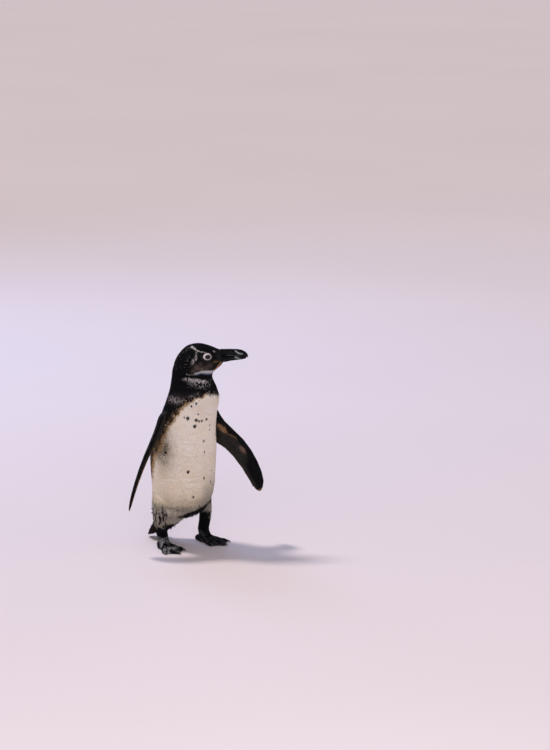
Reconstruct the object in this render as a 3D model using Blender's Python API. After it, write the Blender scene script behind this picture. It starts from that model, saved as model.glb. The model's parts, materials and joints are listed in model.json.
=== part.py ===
"""African penguin, a still life-size model of a young bird in a walking stance.

Places are given as (forward, left, up) in metres: forward is where the chest
faces, and up is measured from the floor. In the scene forward is -Y and left
is +X. The head and neck turn to the bird's left about an upright axis.
"""

import math

import bmesh
import bpy
from mathutils import Matrix, Vector
from mathutils.bvhtree import BVHTree

GAP = 0.0003  # clearance between solids that meet

# The trunk, neck and head are one lofted form. Each station is a flat section
# through the bird: its front point, its back point, its half width and how
# much wider it is towards the front. It is then parted by thin cuts.
STATIONS = {
    "tail_root": ((-0.079, 0.021), (-0.107, 0.047), 0.018, 0.0),
    "vent": ((-0.061, 0.033), (-0.101, 0.071), 0.032, 0.0),
    "undertail": ((-0.033, 0.0555), (-0.0955, 0.099), 0.046, 0.0),
    "low_belly": ((0.008, 0.0720), (-0.0925, 0.130), 0.059, 0.0),
    "belly": ((0.037, 0.111), (-0.0945, 0.162), 0.0665, 0.02),
    "waist": ((0.0430, 0.163), (-0.0985, 0.197), 0.0675, 0.03),
    "ribs": ((0.0465, 0.214), (-0.0930, 0.231), 0.0675, 0.03),
    "breast": ((0.0475, 0.260), (-0.079, 0.268), 0.0615, 0.02),
    "shoulders": ((0.0568, 0.299), (-0.063, 0.303), 0.0538, 0.0),
    "chest_top": ((0.0638, 0.328), (-0.0520, 0.331), 0.0490, 0.0),
    "neck_base": ((0.058, 0.350), (-0.0460, 0.352), 0.0400, 0.0),
    "neck": ((0.0490, 0.365), (-0.0425, 0.369), 0.0360, 0.0),
    "throat": ((0.0445, 0.3760), (-0.0408, 0.385), 0.0335, 0.02),
    "nape": ((0.0484, 0.3825), (-0.0366, 0.4030), 0.0315, 0.04),
    "occiput": ((0.0538, 0.3883), (-0.0265, 0.4230), 0.0300, 0.06),
    "crown": ((0.0590, 0.3930), (-0.0080, 0.4410), 0.0280, 0.08),
    "brow": ((0.0636, 0.3978), (0.0172, 0.4460), 0.0245, 0.10),
    "lores": ((0.0664, 0.4010), (0.0410, 0.4405), 0.0185, 0.14),
    "bill_base": ((0.0692, 0.4040), (0.0610, 0.4328), 0.0110, 0.06),
}
STATION_NAMES = list(STATIONS)
RINGS_PER_STATION = 2
RING_POINTS = 32
SECTION_POWER = 2.15  # 2 is an ellipse, more is squarer

# The head looks to the left of where the chest points.
HEAD_TURN = math.radians(45)
TURN_STARTS, TURN_ENDS = "shoulders", "throat"

# The bill, in the plane of the turned head: the ridge above, the line where
# the mandibles meet and the keel below, with the half width at each place.
BILL_POINTS = 16
UPPER_BILL = (
    ((0.0580, 0.4176), (0.0540, 0.4324), 0.0086),
    ((0.0700, 0.4178), (0.0690, 0.4326), 0.0082),
    ((0.0840, 0.4179), (0.0840, 0.4326), 0.0072),
    ((0.0980, 0.4178), (0.0980, 0.4324), 0.0064),
    ((0.1070, 0.4173), (0.1083, 0.4306), 0.0056),
    ((0.1140, 0.4163), (0.1163, 0.4262), 0.0041),
    ((0.1182, 0.4153), (0.1205, 0.4212), 0.0026),
    ((0.1198, 0.4142), (0.1215, 0.4158), 0.0010),
)
LOWER_BILL = (
    ((0.0600, 0.4035), (0.0560, 0.4170), 0.0080),
    ((0.0740, 0.4050), (0.0720, 0.4172), 0.0076),
    ((0.0860, 0.4075), (0.0850, 0.4173), 0.0068),
    ((0.0980, 0.4088), (0.0980, 0.4172), 0.0060),
    ((0.1070, 0.4098), (0.1070, 0.4167), 0.0049),
    ((0.1140, 0.4112), (0.1135, 0.4156), 0.0035),
    ((0.1180, 0.4126), (0.1174, 0.4144), 0.0015),
)

# Eyes: a ball sunk in the side of the head.
EYE_AT = (0.0355, 0.4205)
EYE_RADIUS = 0.0085
EYE_PROUD = 0.0022
EYE_LOOKS = Vector((0.20, 1.0, 0.06)).normalized()

# Flippers: half chord, half thickness and sweep of the blade's middle towards
# the leading edge, at shares of the length from shoulder to tip.
FLIPPER_LENGTH = 0.206
FLIPPER_SECTIONS = (
    (-0.075, 0.0130, 0.0030, -0.0020),
    (-0.050, 0.0240, 0.0052, -0.0030),
    (-0.018, 0.0325, 0.0066, -0.0048),
    (0.02, 0.0370, 0.0070, -0.0065),
    (0.08, 0.0360, 0.0064, -0.0075),
    (0.16, 0.0350, 0.0057, -0.0055),
    (0.28, 0.0324, 0.0050, 0.0044),
    (0.42, 0.0274, 0.0044, 0.0178),
    (0.56, 0.0250, 0.0038, 0.0228),
    (0.70, 0.0228, 0.0032, 0.0226),
    (0.82, 0.0204, 0.0028, 0.0196),
    (0.91, 0.0170, 0.0023, 0.0152),
    (0.97, 0.0110, 0.0017, 0.0110),
    (1.00, 0.0040, 0.0011, 0.0080),
)
FLIPPER_POINTS = 18
# shoulder, direction of the blade, direction of the leading edge
FLIPPERS = {
    "right": ((-0.0328, -0.0548, 0.284), (-0.017, -0.082, -0.190), (0.573, -0.782, 0.21)),
    "left": ((-0.008, 0.054, 0.284), (0.074, 0.080, -0.176), (0.86, 0.16, 0.42)),
}
# how far the middle of each blade bows outwards
FLIPPER_BOW = {"right": 0.0024, "left": 0.0}

# Legs: the feathered shanks, as centre offset from the ankle and radii.
ANKLE_HEIGHT = 0.0290
LEG_POINTS = 20
LEG_SECTIONS = (
    # up, inwards to the trunk, forward, radius fore and aft, radius across
    (0.150, 0.020, 0.006, 0.0260, 0.0180),
    (0.118, 0.014, 0.003, 0.0260, 0.0195),
    (0.092, 0.007, 0.000, 0.0205, 0.0165),
    (0.070, 0.001, 0.000, 0.0152, 0.0138),
    (0.052, 0.000, 0.000, 0.0134, 0.0125),
    (0.039, 0.000, 0.000, 0.0129, 0.0121),
    (ANKLE_HEIGHT, 0.000, 0.000, 0.0128, 0.0120),
)
# how far each shank leans forward and outwards on its way up from the ankle
LEG_LEAN = {"right": (-0.0044, 0.0041), "left": (0.0036, 0.0034)}
LEAN_HEIGHT = 0.030

# Feet: three webbed toes, a heel pad and the small inner toe.
ANKLES = {"right": (-0.037, -0.0525), "left": (-0.0165, 0.0515)}
FOOT_SPLAY = {"right": math.radians(12), "left": math.radians(1)}
# how far out the toe points, its length, its half width and its half height
TOES = {
    "inner": (math.radians(-26), 0.051, 0.0062, 0.0070),
    "middle": (math.radians(0), 0.064, 0.0070, 0.0078),
    "outer": (math.radians(26), 0.054, 0.0062, 0.0070),
}
TOE_START = 0.004
SOLES = {
    "inner": 0.00012,
    "middle": 0.00020,
    "outer": 0.00028,
    "heel": 0.00016,
    "hallux": 0.0012,
}
WEB_THICKNESS = 0.0052
WEB_LIFT = 0.0009
WEB_SHORT = 0.001  # how far the web stops short of the toes' tips
WEB_HOLLOW = 0.003
CLAW_LENGTH = 0.0082
CLAW_RADIUS = 0.0026
HEEL_BACK = 0.0185

# Tail: a short stiff wedge, as centre, half width and half thickness.
TAIL_SECTIONS = (
    ((-0.0980, 0.0285), 0.0200, 0.0140),
    ((-0.1060, 0.0215), 0.0210, 0.0092),
    ((-0.1135, 0.0158), 0.0180, 0.0062),
    ((-0.1200, 0.0112), 0.0130, 0.0040),
    ((-0.1250, 0.0082), 0.0070, 0.0025),
    ((-0.1275, 0.0066), 0.0030, 0.0014),
)


def clear_scene():
    for old in list(bpy.data.objects):
        bpy.data.objects.remove(old)


def make_material(name, colour, roughness):
    material = bpy.data.materials.new(name)
    material.use_nodes = True
    shader = material.node_tree.nodes["Principled BSDF"]
    shader.inputs["Base Color"].default_value = (*colour, 1)
    shader.inputs["Roughness"].default_value = roughness
    shader.inputs["Metallic"].default_value = 0.0
    material.diffuse_color = (*colour, 1)
    return material


def to_scene(forward, left, up):
    """A place on the bird, in the scene's axes."""
    return Vector((left, -forward, up))


def turned(forward, left, up, angle):
    """A place turned to the bird's left about the upright axis of its neck."""
    return (
        forward * math.cos(angle) - left * math.sin(angle),
        forward * math.sin(angle) + left * math.cos(angle),
        up,
    )


def spline(values, place):
    """A smooth curve through equally spaced values, read at a fractional place."""
    last = len(values) - 1
    index = min(int(place), last - 1)
    t = place - index
    p1, p2 = values[index], values[index + 1]
    p0 = values[index - 1] if index > 0 else 2 * p1 - p2
    p3 = values[index + 2] if index + 2 <= last else 2 * p2 - p1
    return 0.5 * (
        2 * p1
        + (p2 - p0) * t
        + (2 * p0 - 5 * p1 + 4 * p2 - p3) * t**2
        + (3 * p1 - p0 - 3 * p2 + p3) * t**3
    )


def powered(value, power):
    """A sine or cosine reshaped, so that a circle becomes a superellipse."""
    return math.copysign(abs(value) ** (2 / power), value)


def section(front, back, half_width, egg, turn, count, power=2.0):
    """A closed ring through a front and a back point of the middle plane."""
    middle = (front + back) / 2
    half = (front - back) / 2
    ring = []
    for k in range(count):
        angle = 2 * math.pi * k / count
        along = powered(math.cos(angle), power)
        across = powered(math.sin(angle), power) * (1 + egg * math.cos(angle))
        spot = middle + half * along
        ring.append(to_scene(*turned(spot.x, half_width * across, spot.y, turn)))
    return ring


def mesh_object(name, bm, material):
    bmesh.ops.recalc_face_normals(bm, faces=bm.faces)
    mesh = bpy.data.meshes.new(name)
    bm.to_mesh(mesh)
    bm.free()
    mesh.materials.append(material)
    mesh.shade_smooth()
    mesh.set_sharp_from_angle(angle=math.radians(40))
    made = bpy.data.objects.new(name, mesh)
    bpy.context.scene.collection.objects.link(made)
    return made


def lofted(name, rings, material):
    """A closed solid through rings of equally many points."""
    bm = bmesh.new()
    rows = [[bm.verts.new(point) for point in ring] for ring in rings]
    count = len(rows[0])
    for low, high in zip(rows, rows[1:]):
        for k in range(count):
            following = (k + 1) % count
            bm.faces.new((low[k], low[following], high[following], high[k]))
    bm.faces.new(rows[0])
    bm.faces.new(rows[-1])
    return mesh_object(name, bm, material)


def cut_by(target, cutters, operation="DIFFERENCE"):
    """Booleans applied at once, and the helpers removed."""
    for cutter in cutters:
        cutter.hide_render = True
        cutter.display_type = "WIRE"
        change = target.modifiers.new(cutter.name, "BOOLEAN")
        change.operation = operation
        change.solver = "EXACT"
        change.object = cutter
    graph = bpy.context.evaluated_depsgraph_get()
    result = bpy.data.meshes.new_from_object(target.evaluated_get(graph))
    target.modifiers.clear()
    target.data = result
    for cutter in cutters:
        bpy.data.objects.remove(cutter)


# --- trunk, neck and head ---------------------------------------------------


def turn_at(place):
    """How far the section at this place along the stations is turned."""
    start, end = (STATION_NAMES.index(n) for n in (TURN_STARTS, TURN_ENDS))
    share = min(max((place - start) / (end - start), 0.0), 1.0)
    return HEAD_TURN * share * share * (3 - 2 * share)


def body_ring(place, grow=0.0):
    """The body's section at a fractional place along the stations."""
    stations = list(STATIONS.values())
    front = spline([Vector(s[0]) for s in stations], place)
    back = spline([Vector(s[1]) for s in stations], place)
    half_width = spline([s[2] for s in stations], place)
    egg = spline([s[3] for s in stations], place)
    outwards = (front - back).normalized() * grow
    return section(
        front + outwards,
        back - outwards,
        half_width + grow,
        egg,
        turn_at(place),
        RING_POINTS,
        SECTION_POWER,
    )


def body_rings(first, last, per_station=RINGS_PER_STATION, grow=0.0):
    start, end = STATION_NAMES.index(first), STATION_NAMES.index(last)
    steps = (end - start) * per_station
    return [body_ring(start + k / per_station, grow) for k in range(steps + 1)]


def moved_off(ring, towards):
    """The same section, moved by the gap along its normal, towards another."""
    normal = (ring[0] - ring[len(ring) // 2]).cross(ring[1] - ring[-1]).normalized()
    middle = sum(ring, Vector()) / len(ring)
    other = sum(towards, Vector()) / len(towards)
    if normal.dot(other - middle) < 0:
        normal = -normal
    return [point + normal * GAP for point in ring]


def make_trunk(material):
    return lofted("trunk", body_rings("tail_root", "neck_base"), material)


def make_neck(material):
    rings = body_rings("neck_base", "nape")
    rings[0] = moved_off(rings[0], rings[1])
    return lofted("neck", rings, material)


def make_head(material):
    rings = body_rings("nape", "bill_base", per_station=3)
    rings[0] = moved_off(rings[0], rings[1])
    return lofted("head", rings, material)


def make_tail(material):
    """The tail narrows from the trunk's last section to a thin blunt tip."""
    root, above = body_rings("tail_root", "vent")[:2]
    beyond = [2 * here - there for here, there in zip(root, above)]
    rings = [moved_off(root, beyond)]
    front, back = (Vector(p) for p in STATIONS["tail_root"][:2])
    slope = (front - back).normalized()
    for (forward, up), half_width, half_thick in TAIL_SECTIONS:
        middle = Vector((forward, up))
        half = slope * half_thick
        rings.append(
            section(middle + half, middle - half, half_width, 0, 0, RING_POINTS, 2.2)
        )
    return lofted("tail", rings, material)


# --- bill and eyes ----------------------------------------------------------


def bill_part(name, sections, material):
    """One mandible, lofted along the turned head's middle plane."""
    spots = [
        (Vector(low), Vector(high), half_width) for low, high, half_width in sections
    ]
    rings = [
        section(low, high, half_width, 0.12, HEAD_TURN, BILL_POINTS, 2.5)
        for low, high, half_width in spots
    ]
    return lofted(name, rings, material)


def head_cutter():
    """The head grown by the gap, to part the bill from it."""
    return lofted(
        "head_cutter",
        body_rings("nape", "bill_base", per_station=3, grow=GAP),
        bpy.data.materials["head plumage"],
    )


def make_bill(material):
    parts = [
        bill_part("upper_bill", UPPER_BILL, material),
        bill_part("lower_bill", LOWER_BILL, material),
    ]
    for part in parts:
        cut_by(part, [head_cutter()])
    return parts


def sphere(name, centre, radius, material, segments=18, rings=10):
    bm = bmesh.new()
    bmesh.ops.create_uvsphere(
        bm, u_segments=segments, v_segments=rings, radius=radius
    )
    bm.transform(Matrix.Translation(centre))
    return mesh_object(name, bm, material)


def make_eyes(head, material):
    """Each eye is a ball in a socket of the head, a little proud of it."""
    for side, sign in (("right", -1), ("left", 1)):
        tree = BVHTree.FromObject(head, bpy.context.evaluated_depsgraph_get())
        inside = to_scene(*turned(EYE_AT[0], 0.0, EYE_AT[1], HEAD_TURN))
        looks = to_scene(
            *turned(EYE_LOOKS.x, EYE_LOOKS.y * sign, EYE_LOOKS.z, HEAD_TURN)
        )
        sideways = to_scene(*turned(0.0, sign, 0.0, HEAD_TURN))
        on_skin = tree.ray_cast(inside, sideways)[0]
        centre = on_skin - looks * (EYE_RADIUS - EYE_PROUD)
        sphere("eye_" + side, centre, EYE_RADIUS, material)
        socket = sphere("socket", centre, EYE_RADIUS + GAP, material)
        cut_by(head, [socket])


# --- flippers, legs, feet and claws -----------------------------------------


def trunk_cutter():
    """The trunk grown by the gap, to part what grows from it."""
    rings = body_rings("tail_root", "neck_base", grow=GAP)
    return lofted("trunk_cutter", rings, bpy.data.materials["body plumage"])


def make_flipper(side, material):
    shoulder, along, leading = (Vector(v) for v in FLIPPERS[side])
    along.normalize()
    leading = (leading - along * leading.dot(along)).normalized()
    outwards = along.cross(leading)
    rings = []
    for share, half_chord, half_thick, sweep in FLIPPER_SECTIONS:
        bow = FLIPPER_BOW[side] * math.sin(math.pi * max(share, 0) ** 1.6)
        middle = shoulder + along * (FLIPPER_LENGTH * share)
        middle += leading * sweep + outwards * bow
        ring = []
        for k in range(FLIPPER_POINTS):
            angle = 2 * math.pi * k / FLIPPER_POINTS
            fullness = 1 + 0.35 * math.cos(angle)  # thicker towards the front
            spot = (
                middle
                + leading * (half_chord * math.cos(angle))
                + outwards * (half_thick * math.sin(angle) * fullness)
            )
            ring.append(to_scene(*spot))
        rings.append(ring)
    flipper = lofted("flipper_" + side, rings, material)
    cut_by(flipper, [trunk_cutter()])
    return flipper


def make_leg(side, material):
    """The feathered shank, from the side of the belly down to the ankle."""
    ankle_forward, ankle_left = ANKLES[side]
    sign = math.copysign(1, ankle_left)
    rings = []
    for up, inwards, forward, half_deep, half_wide in LEG_SECTIONS:
        above = min((up - ANKLE_HEIGHT) / LEAN_HEIGHT, 1)
        middle = (
            ankle_forward + forward + LEG_LEAN[side][0] * above,
            ankle_left + sign * (LEG_LEAN[side][1] * above - inwards),
        )
        ring = []
        for k in range(LEG_POINTS):
            angle = 2 * math.pi * k / LEG_POINTS
            ring.append(
                to_scene(
                    middle[0] + half_deep * math.cos(angle),
                    middle[1] + half_wide * math.sin(angle),
                    up,
                )
            )
        rings.append(ring)
    leg = lofted("leg_" + side, rings, material)
    cut_by(leg, [trunk_cutter()])
    return leg


def on_foot(side, forward, outwards, up):
    """A place on a foot, in the scene's axes."""
    ankle_forward, ankle_left = ANKLES[side]
    sign = math.copysign(1, ankle_left)
    splay = FOOT_SPLAY[side]
    ahead = forward * math.cos(splay) - outwards * math.sin(splay)
    aside = forward * math.sin(splay) + outwards * math.cos(splay)
    return to_scene(ankle_forward + ahead, ankle_left + sign * aside, up)


def foot_tube(name, side, spots, sole, material, count=12):
    """A form along a foot from (forward, outwards, up, half width, half height).

    Its underside is flat at the height of its sole. No two are level, which
    keeps the union of a foot's parts clean.
    """
    rings = []
    for index, (forward, outwards, up, half_wide, half_high) in enumerate(spots):
        before = spots[max(index - 1, 0)]
        after = spots[min(index + 1, len(spots) - 1)]
        run = Vector((after[0] - before[0], after[1] - before[1])).normalized()
        ring = []
        for k in range(count):
            angle = 2 * math.pi * k / count
            across = half_wide * math.cos(angle)
            height = max(up + half_high * math.sin(angle), sole)
            ring.append(
                on_foot(side, forward - run.y * across, outwards + run.x * across, height)
            )
        rings.append(ring)
    return lofted(name, rings, material)


def toe_spots(pointing, length, half_wide, half_high):
    """Stations of a toe: knuckled, and lowest at its tip."""
    shares = (0.0, 0.20, 0.38, 0.54, 0.70, 0.84, 0.94, 1.0)
    swell = (1.15, 1.08, 0.94, 1.04, 0.92, 1.02, 0.86, 0.50)
    spots = []
    for share, size in zip(shares, swell):
        reach = TOE_START + (length - TOE_START) * share
        drop = 0.80 + 1.10 * (1 - share) ** 1.9
        spots.append(
            (
                reach * math.cos(pointing),
                reach * math.sin(pointing),
                half_high * drop * 0.62,
                half_wide * size,
                half_high * size * drop,
            )
        )
    return spots


def make_web(side, first, second, material):
    """The web between two toes, as a thin wedge with a hollow front margin."""
    first_angle, first_length = TOES[first][:2]
    second_angle, second_length = TOES[second][:2]
    rings = []
    for share in (0.14, 0.40, 0.64, 0.84, 1.0):
        low, high = [], []
        for step in range(7):
            across = step / 6
            pointing = first_angle + (second_angle - first_angle) * across
            reach = first_length + (second_length - first_length) * across - WEB_SHORT
            reach = share * (reach - WEB_HOLLOW * 4 * across * (1 - across))
            spot = (reach * math.cos(pointing), reach * math.sin(pointing))
            low.append(on_foot(side, *spot, WEB_LIFT))
            high.append(on_foot(side, *spot, WEB_LIFT + WEB_THICKNESS))
        rings.append(low + high[::-1])
    return lofted(f"web_{first}", rings, material)


def make_foot(side, material):
    """Ankle, heel pad, toes and web, joined as one solid with a flat sole."""
    top = ANKLE_HEIGHT - GAP
    rings = []
    for up, forward, half_deep, half_wide in (
        (top, 0.000, 0.0128, 0.0120),
        (0.0235, 0.001, 0.0128, 0.0118),
        (0.0170, 0.004, 0.0145, 0.0120),
        (0.0100, 0.006, 0.0170, 0.0124),
        (0.0040, 0.005, 0.0180, 0.0124),
        (0.0000, 0.004, 0.0165, 0.0112),
    ):
        rings.append(
            [
                on_foot(
                    side,
                    forward + half_deep * math.cos(2 * math.pi * k / LEG_POINTS),
                    half_wide * math.sin(2 * math.pi * k / LEG_POINTS),
                    up,
                )
                for k in range(LEG_POINTS)
            ]
        )
    foot = lofted("foot_" + side, rings, material)
    parts = [
        foot_tube("toe_" + toe, side, toe_spots(*shape), SOLES[toe], material)
        for toe, shape in TOES.items()
    ]
    heel = [
        (0.006, 0.0, 0.0088, 0.0092, 0.0092),
        (-0.006, -0.001, 0.0082, 0.0086, 0.0086),
        (-HEEL_BACK + 0.002, -0.002, 0.0062, 0.0062, 0.0062),
        (-HEEL_BACK - 0.002, -0.002, 0.0050, 0.0035, 0.0040),
    ]
    parts.append(foot_tube("heel", side, heel, SOLES["heel"], material))
    hallux = [
        (0.002, -0.008, 0.0080, 0.0038, 0.0036),
        (0.007, -0.0135, 0.0065, 0.0030, 0.0030),
        (0.012, -0.0160, 0.0050, 0.0022, 0.0022),
    ]
    parts.append(foot_tube("hallux", side, hallux, SOLES["hallux"], material, 10))
    parts.append(make_web(side, "inner", "middle", material))
    parts.append(make_web(side, "middle", "outer", material))
    cut_by(foot, parts, "UNION")
    return foot


def make_claw(name, side, tip, pointing, rise, scale, material):
    """A claw hooked over the tip of a toe, its point just off the floor."""
    rings = []
    count = 8
    for share, size, drop in (
        (0.0, 1.0, 0.0),
        (0.25, 0.94, 0.03),
        (0.5, 0.78, 0.12),
        (0.72, 0.56, 0.26),
        (0.9, 0.30, 0.44),
        (1.0, 0.08, 0.55),
    ):
        reach = CLAW_LENGTH * scale * share
        up = rise - (rise - 0.0008) * drop * 1.4
        forward = tip[0] + reach * math.cos(pointing)
        outwards = tip[1] + reach * math.sin(pointing)
        radius = CLAW_RADIUS * scale * size
        ring = []
        for k in range(count):
            angle = 2 * math.pi * k / count
            across = radius * 0.85 * math.cos(angle)
            ring.append(
                on_foot(
                    side,
                    forward - math.sin(pointing) * across,
                    outwards + math.cos(pointing) * across,
                    max(up + radius * math.sin(angle), 0.0004),
                )
            )
        rings.append(ring)
    return lofted(name, rings, material)


def make_claws(side, material):
    for toe, (pointing, length, _, half_high) in TOES.items():
        reach = length + GAP
        tip = (reach * math.cos(pointing), reach * math.sin(pointing))
        rise = half_high * 0.66
        make_claw(f"claw_{side}_{toe}", side, tip, pointing, rise, 1.0, material)
    tip = (0.0122 + GAP, -0.0162)
    make_claw(
        f"claw_{side}_hallux", side, tip, math.radians(-24), 0.0048, 0.55, material
    )


# --- the whole bird ---------------------------------------------------------


def centre_on_floor():
    """Moves every mesh so that the model stands centred on the origin."""
    meshes = [o.data for o in bpy.data.objects]
    points = [v.co for mesh in meshes for v in mesh.vertices]
    low = Vector(min(p[axis] for p in points) for axis in range(3))
    high = Vector(max(p[axis] for p in points) for axis in range(3))
    shift = Vector((-(low.x + high.x) / 2, -(low.y + high.y) / 2, -low.z))
    for mesh in meshes:
        mesh.transform(Matrix.Translation(shift))


def build():
    clear_scene()
    body_plumage = make_material("body plumage", (0.62, 0.58, 0.52), 0.75)
    head_plumage = make_material("head plumage", (0.03, 0.03, 0.035), 0.6)
    flipper_plumage = make_material("flipper plumage", (0.03, 0.03, 0.035), 0.5)
    tail_plumage = make_material("tail plumage", (0.03, 0.03, 0.03), 0.65)
    leg_plumage = make_material("leg plumage", (0.10, 0.095, 0.09), 0.7)
    horn = make_material("bill horn", (0.02, 0.02, 0.022), 0.35)
    foot_skin = make_material("foot skin", (0.025, 0.025, 0.028), 0.5)
    claw_horn = make_material("claw horn", (0.03, 0.027, 0.025), 0.4)
    eye_gloss = make_material("eye gloss", (0.03, 0.015, 0.01), 0.05)

    make_trunk(body_plumage)
    make_neck(head_plumage)
    head = make_head(head_plumage)
    make_bill(horn)
    make_eyes(head, eye_gloss)
    make_tail(tail_plumage)
    for side in ("right", "left"):
        make_flipper(side, flipper_plumage)
        make_leg(side, leg_plumage)
        make_foot(side, foot_skin)
        make_claws(side, claw_horn)
    centre_on_floor()


build()
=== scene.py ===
import json
import math

import bmesh
import bpy
import numpy as np
from mathutils import Matrix, Vector, noise
from mathutils.bvhtree import BVHTree

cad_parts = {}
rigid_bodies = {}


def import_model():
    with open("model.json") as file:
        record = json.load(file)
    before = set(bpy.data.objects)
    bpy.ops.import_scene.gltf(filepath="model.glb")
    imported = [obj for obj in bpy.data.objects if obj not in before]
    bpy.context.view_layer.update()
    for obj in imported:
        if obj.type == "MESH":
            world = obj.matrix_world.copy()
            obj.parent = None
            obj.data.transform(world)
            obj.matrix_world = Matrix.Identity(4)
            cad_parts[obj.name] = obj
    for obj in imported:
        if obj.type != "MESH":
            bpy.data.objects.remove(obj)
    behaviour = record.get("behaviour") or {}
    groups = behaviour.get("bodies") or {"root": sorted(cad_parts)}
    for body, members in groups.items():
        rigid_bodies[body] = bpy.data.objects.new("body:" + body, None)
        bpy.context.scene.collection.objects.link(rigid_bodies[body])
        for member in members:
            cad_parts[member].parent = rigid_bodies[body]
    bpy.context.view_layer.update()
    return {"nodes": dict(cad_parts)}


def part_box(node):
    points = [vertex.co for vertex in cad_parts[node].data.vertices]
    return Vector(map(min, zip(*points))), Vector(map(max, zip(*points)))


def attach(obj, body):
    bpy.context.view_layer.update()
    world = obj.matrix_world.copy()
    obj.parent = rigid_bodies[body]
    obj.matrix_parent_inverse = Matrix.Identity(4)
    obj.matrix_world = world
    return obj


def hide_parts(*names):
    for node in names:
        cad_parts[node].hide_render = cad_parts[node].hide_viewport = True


for startup in list(bpy.data.objects):
    bpy.data.objects.remove(startup)
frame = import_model()
print("frame loaded with", len(frame["nodes"]), "nodes")

# places on the bird, all worked out from the frame

headLook = {
    "eyeAhead": 0.0342,  # the eyes, ahead of the upright axis of the neck
    "eyeLooksUp": 0.06,
    "eyeLooksAhead": 0.20,
}
upright = Vector((0, 0, 1))


def middleOf(node):
    low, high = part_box(node)
    return (low + high) / 2


def flattened(vector):
    return Vector((vector.x, vector.y, 0)).normalized()


eyeMiddle = (middleOf("eye_left") + middleOf("eye_right")) / 2
headLeft = flattened(middleOf("eye_left") - middleOf("eye_right"))
headAhead = headLeft.cross(upright)
neckAxis = Vector((eyeMiddle.x, eyeMiddle.y, 0)) - headAhead * headLook["eyeAhead"]
sides = {"right": -1, "left": 1}
eyeLooks = {
    side: (
        headLeft * sign + headAhead * headLook["eyeLooksAhead"] + upright * headLook["eyeLooksUp"]
    ).normalized()
    for side, sign in sides.items()
}


def headPlaces(points):
    # ahead, to its left and up, as the head sees it
    offset = points - np.array(neckAxis)
    return offset @ np.array(headAhead), offset @ np.array(headLeft), points[:, 2]


def bodyPlaces(points):
    # forward, to its left and up, as the chest sees it
    offset = points - np.array(neckAxis)
    return -offset[:, 1], offset[:, 0], points[:, 2]


# small helpers for numbers on a surface


def smooth(low, high, value):
    share = np.clip((value - low) / (high - low), 0, 1)
    return share * share * (3 - 2 * share)


def bump(distance, width):
    return np.exp(-((distance / width) ** 2))


def noiseAt(points, grain, seed):
    shifted = points / grain + seed * 13.7
    return np.array([noise.noise(Vector(p)) for p in shifted])


def blended(colour, other, share):
    share = np.clip(share, 0, 1)[:, None]
    return colour * (1 - share) + np.asarray(other) * share


def awayFrom(points, path):
    # distance to a path of straight stretches, and how far along it lies
    best = np.full(len(points), 9.0)
    along = np.zeros(len(points))
    for index, (start, end) in enumerate(zip(path, path[1:])):
        start, run = np.array(start), np.array(end) - np.array(start)
        share = np.clip((points - start) @ run / (run @ run), 0, 1)
        distance = np.linalg.norm(points - start - share[:, None] * run, axis=1)
        nearer = distance < best
        best[nearer] = distance[nearer]
        along[nearer] = (index + share[nearer]) / (len(path) - 1)
    return best, along


def relaxed(values, edges, rounds, strength=0.5):
    # each point moves towards the middle of its neighbours, again and again
    columns = values.reshape(len(values), -1).copy()
    first, second = edges.T
    count = np.maximum(np.bincount(edges.ravel(), minlength=len(columns)), 1)
    for _ in range(rounds):
        for column in range(columns.shape[1]):
            old = columns[:, column]
            total = np.bincount(first, old[second], len(old))
            total += np.bincount(second, old[first], len(old))
            columns[:, column] = old + strength * (total / count - old)
    return columns.reshape(values.shape)


def pointsOf(mesh):
    flat = np.empty(len(mesh.vertices) * 3)
    mesh.vertices.foreach_get("co", flat)
    return flat.reshape(-1, 3)


def setPoints(mesh, points):
    mesh.vertices.foreach_set("co", np.ascontiguousarray(points, np.float32).ravel())
    mesh.update()


def normalsOf(mesh):
    flat = np.empty(len(mesh.vertices) * 3, np.float32)
    mesh.vertex_normals.foreach_get("vector", flat)
    return flat.reshape(-1, 3).astype(float)


def edgesOf(mesh):
    flat = np.empty(len(mesh.edges) * 2, np.int32)
    mesh.edges.foreach_get("vertices", flat)
    return flat.reshape(-1, 2)


def unit(vectors):
    return vectors / np.maximum(np.linalg.norm(vectors, axis=1, keepdims=True), 1e-9)


def putAttribute(mesh, name, values, kind="FLOAT"):
    attribute = mesh.attributes.new(name, kind, "POINT")
    field = {"FLOAT": "value", "FLOAT_COLOR": "color"}.get(kind, "vector")
    attribute.data.foreach_set(field, np.ascontiguousarray(values, np.float32).ravel())


def addObject(name, mesh):
    made = bpy.data.objects.new(name, mesh)
    bpy.context.scene.collection.objects.link(made)
    return made


def takenFrom(helper):
    # the plain mesh of an object with its modifiers, and the object gone
    graph = bpy.context.evaluated_depsgraph_get()
    mesh = bpy.data.meshes.new_from_object(helper.evaluated_get(graph))
    helper.modifiers.clear()
    bpy.data.objects.remove(helper)
    return mesh


def meshOf(name, bm):
    mesh = bpy.data.meshes.new(name)
    bm.to_mesh(mesh)
    bm.free()
    return mesh


def closedMesh(name, points, faces):
    # a mesh of these faces, all turned outwards
    bm = bmesh.new()
    verts = [bm.verts.new(p) for p in points]
    for face in faces:
        bm.faces.new([verts[i] for i in face])
    bmesh.ops.recalc_face_normals(bm, faces=bm.faces)
    return meshOf(name, bm)


def showPiece(name, mesh, finish=None, replaced=()):
    # a finished mesh joins the bird and stands for the solids it replaces
    mesh.shade_smooth()
    if finish:
        mesh.materials.append(finish)
    piece = addObject(name, mesh)
    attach(piece, "root")
    if replaced:
        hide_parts(*replaced)


def mergedCopy(node, growth=0.0):
    # a copy of a solid's loose triangles, joined up and grown a little
    bm = bmesh.new()
    bm.from_mesh(frame["nodes"][node].data)
    bmesh.ops.remove_doubles(bm, verts=bm.verts, dist=1e-6)
    bm.normal_update()
    for vert, normal in [(v, v.normal.copy()) for v in bm.verts]:
        vert.co += normal * growth
    return bm


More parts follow.
